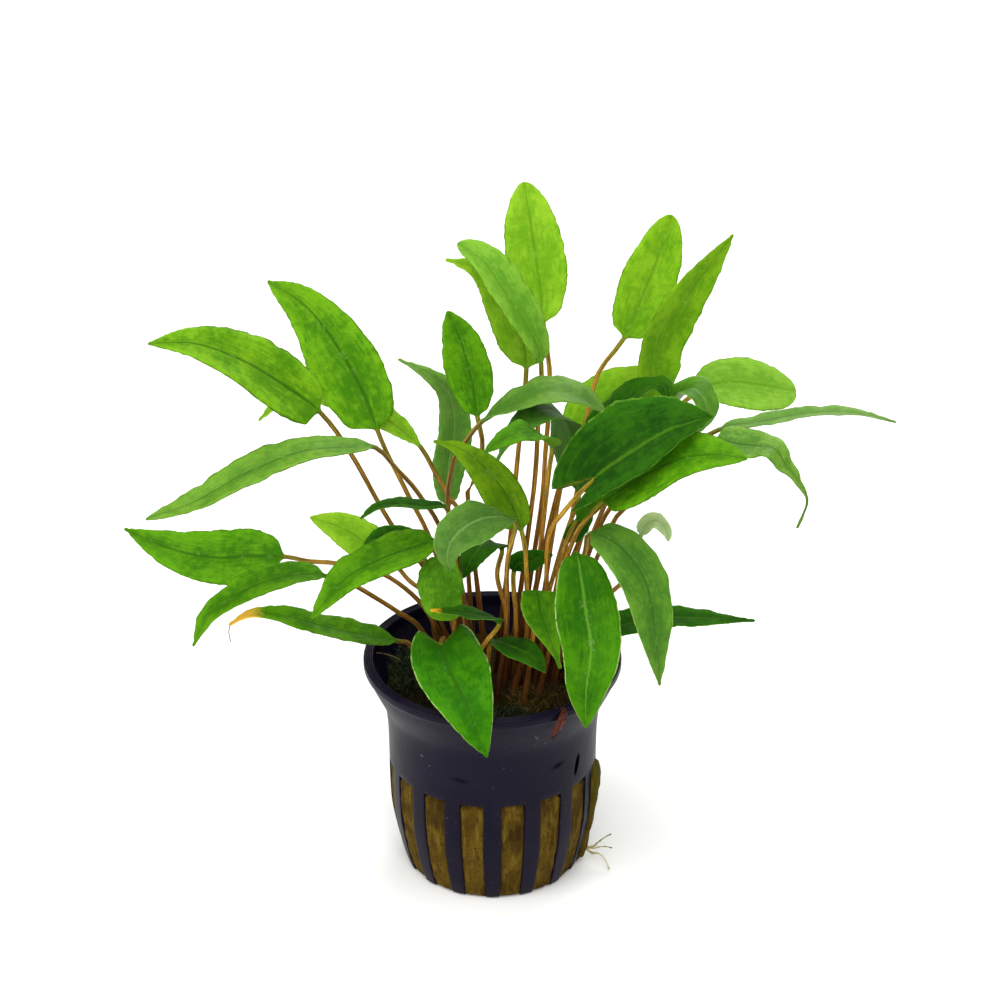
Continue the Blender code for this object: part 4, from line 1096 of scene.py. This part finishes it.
def makeTufts():
    shape = tuftShape
    for name, tuft in tufts.items():
        dice = random.Random(name)
        bm = bmesh.new()
        for k in range(tuft["count"]):
            turn, out = dice.uniform(0, 2 * pi), dice.random() ** 0.5
            x = tuft["at"][0] + tuft["spread"][0] * out * cos(turn)
            y = tuft["at"][1] + tuft["spread"][1] * out * sin(turn)
            tall = dice.uniform(*tuft["tall"]) * (shape["middleTall"] - shape["edgeLoss"] * out)
            lean = Vector((dice.uniform(-1, 1), dice.uniform(-1, 1), 0)) * shape["bow"] * tall
            start = within(Vector((x, y, shape["low"])), shape["reach"])
            rise = Vector((0, 0, tall + shape["sunk"]))
            points = [start + lean * over + rise * up for over, up, _ in shape["knots"]]
            points = [within(p, shape["reach"] + (p.z - shape["low"]) * shape["flare"]) for p in points]
            thick = tuft["thick"] * dice.uniform(*shape["thickShares"])
            strand(bm, points, [thick * share for _, _, share in shape["knots"]], 3)
        addPiece(name, bm, tuftMaterial(name, *tuftTones[tuft["tone"]]), "wool")
    bm = bmesh.new()
    for straw in shape["straws"]:
        points = smoothRows(straw["path"], 5)
        strand(bm, points, [straw["thick"]] * len(points), 6)
    addPiece("straws", bm, tuftMaterial("straws", *tuftTones["straw"]), "wool")


def tuftMaterial(name, first, second):
    material, shader, where = newMaterial(name, {"Specular IOR Level": 0.1})
    change = cloud(where, 900, 3)
    body = blend(band(change, 0.46, 0.68), first, second)
    finish(shader, body, change * 0.2 + 0.7, cloud(where, 3000), 0.05)
    return material


rootShape = dict(
    sides=8,
    anchor=(20.2, -4.6, 3.3),  # where they all leave the wool
    knobs=0.07,
    taper=0.4,
    steps=8,
    threads={
        "root_upper": dict(thick=0.24, path=[(22.2, -4.4, 3.7), (22.8, -4.4, 4.4), (23.7, -4.2, 5.1),
                                             (24.8, -4, 5.9), (25.9, -3.8, 6.4)]),
        "root_middle": dict(thick=0.17, path=[(22.4, -5.5, 3.9), (23.3, -5.8, 4.4), (24.7, -5.8, 4.5),
                                              (26.1, -5.6, 4)]),
        "root_lower": dict(thick=0.28, path=[(21.8, -5.6, 2.7), (22.7, -6.1, 3), (23.7, -6.7, 2.9),
                                             (24.7, -7.6, 2), (25.4, -8.7, 0.5)]),
    },
)


def makeRoots():
    shape = rootShape
    material = rootMaterial()
    for name, thread in shape["threads"].items():
        points = smoothRows([shape["anchor"]] + thread["path"], shape["steps"])
        last = len(points) - 1
        radii = [
            thread["thick"] * (1 - shape["taper"] * k / last) + shape["knobs"] * noise.noise(p * 2.1)
            for k, p in enumerate(points)
        ]
        bm = bmesh.new()
        strand(bm, points, radii, shape["sides"])
        addPiece(name + "_thread", bm, material, "root", name)


def rootMaterial():
    # the lower root is paler than the others, and the tips are dark
    typed = {"Subsurface Weight": 0.2, "Subsurface Scale": 0.001}
    material, shader, where = newMaterial("root_skin", typed)
    x, y, _ = axes(where)
    rings = cloud(where, 700, 3)
    body = blend(band(rings, 0.4, 0.65), (0.42, 0.40, 0.17), (0.20, 0.20, 0.07))
    body = blend(band(y, -0.006, -0.0068), body, (0.62, 0.60, 0.40))
    body = blend(band(x, 0.0251, 0.0257), body, (0.05, 0.035, 0.02))
    finish(shader, body, rings * 0.3 + 0.4, rings, 0.1)
    return material


# Scrap of dead leaf, hung over the rim
scrapShape = dict(
    path=[(32, 27, 50.5), (32, 27.6, 50.5), (31.5, 28.05, 49.9), (30, 28.2, 48.2), (28.5, 27.9, 46),
          (27, 27.6, 43.9)],  # degrees round, radius, height
    widths=[0.8, 1, 1.8, 2.4, 2, 0.8],
    steps=7,
    thick=0.22,
    across=12,
    crumple=0.28,
)


def makeScrap():
    shape = scrapShape
    path = smoothRows(shape["path"], shape["steps"])
    widths = smoothRows([(w, 0) for w in shape["widths"]], shape["steps"])
    count = shape["across"]
    bm = bmesh.new()
    rings = []
    for k, spot in enumerate(path):
        way = (path[min(k + 1, len(path) - 1)] - path[max(k - 1, 0)]).normalized()
        outward = Vector((-way.z, way.y)).normalized()
        wide = widths[k].x * (1 + 0.2 * wave(k * 0.5, 7, 0))
        ring = []
        for j in range(2 * count):
            t = (j if j < count else 2 * count - 1 - j) / (count - 1) * 2 - 1
            sign = 1 if j < count else -1
            dent = shape["crumple"] * wave(t * 1.6, k * 0.3, 3)
            offset = outward * (dent + sign * shape["thick"] / 2 * (1 - 0.6 * t * t))
            turn = radians(spot.x) + t * wide / 2 / spot.y
            ring.append(bm.verts.new(around(turn, spot.y + offset.x, spot.z + offset.y)))
        rings.append(ring)
    skin(bm, rings)
    addPiece("dead_leaf", bm, scrapMaterial(), "scrap", "dead_leaf_scrap")


def scrapMaterial():
    material, shader, where = newMaterial("dead_leaf", {"Specular IOR Level": 0.12})
    stains = cloud(where, 500, 4)
    body = blend(band(stains, 0.42, 0.6), (0.075, 0.009, 0.003), (0.012, 0.003, 0.002))
    finish(shader, body, stains * 0.3 + 0.15, stains, 0.2)
    return material


makeStudio()
for name, leaf in leaves.items():
    makeLeaf(name, leaf)
print("leaves:", len(leaves))
makePot()
makeWool()
makeTufts()
makeRoots()
makeScrap()
print("pot, wool, roots and scrap in place")
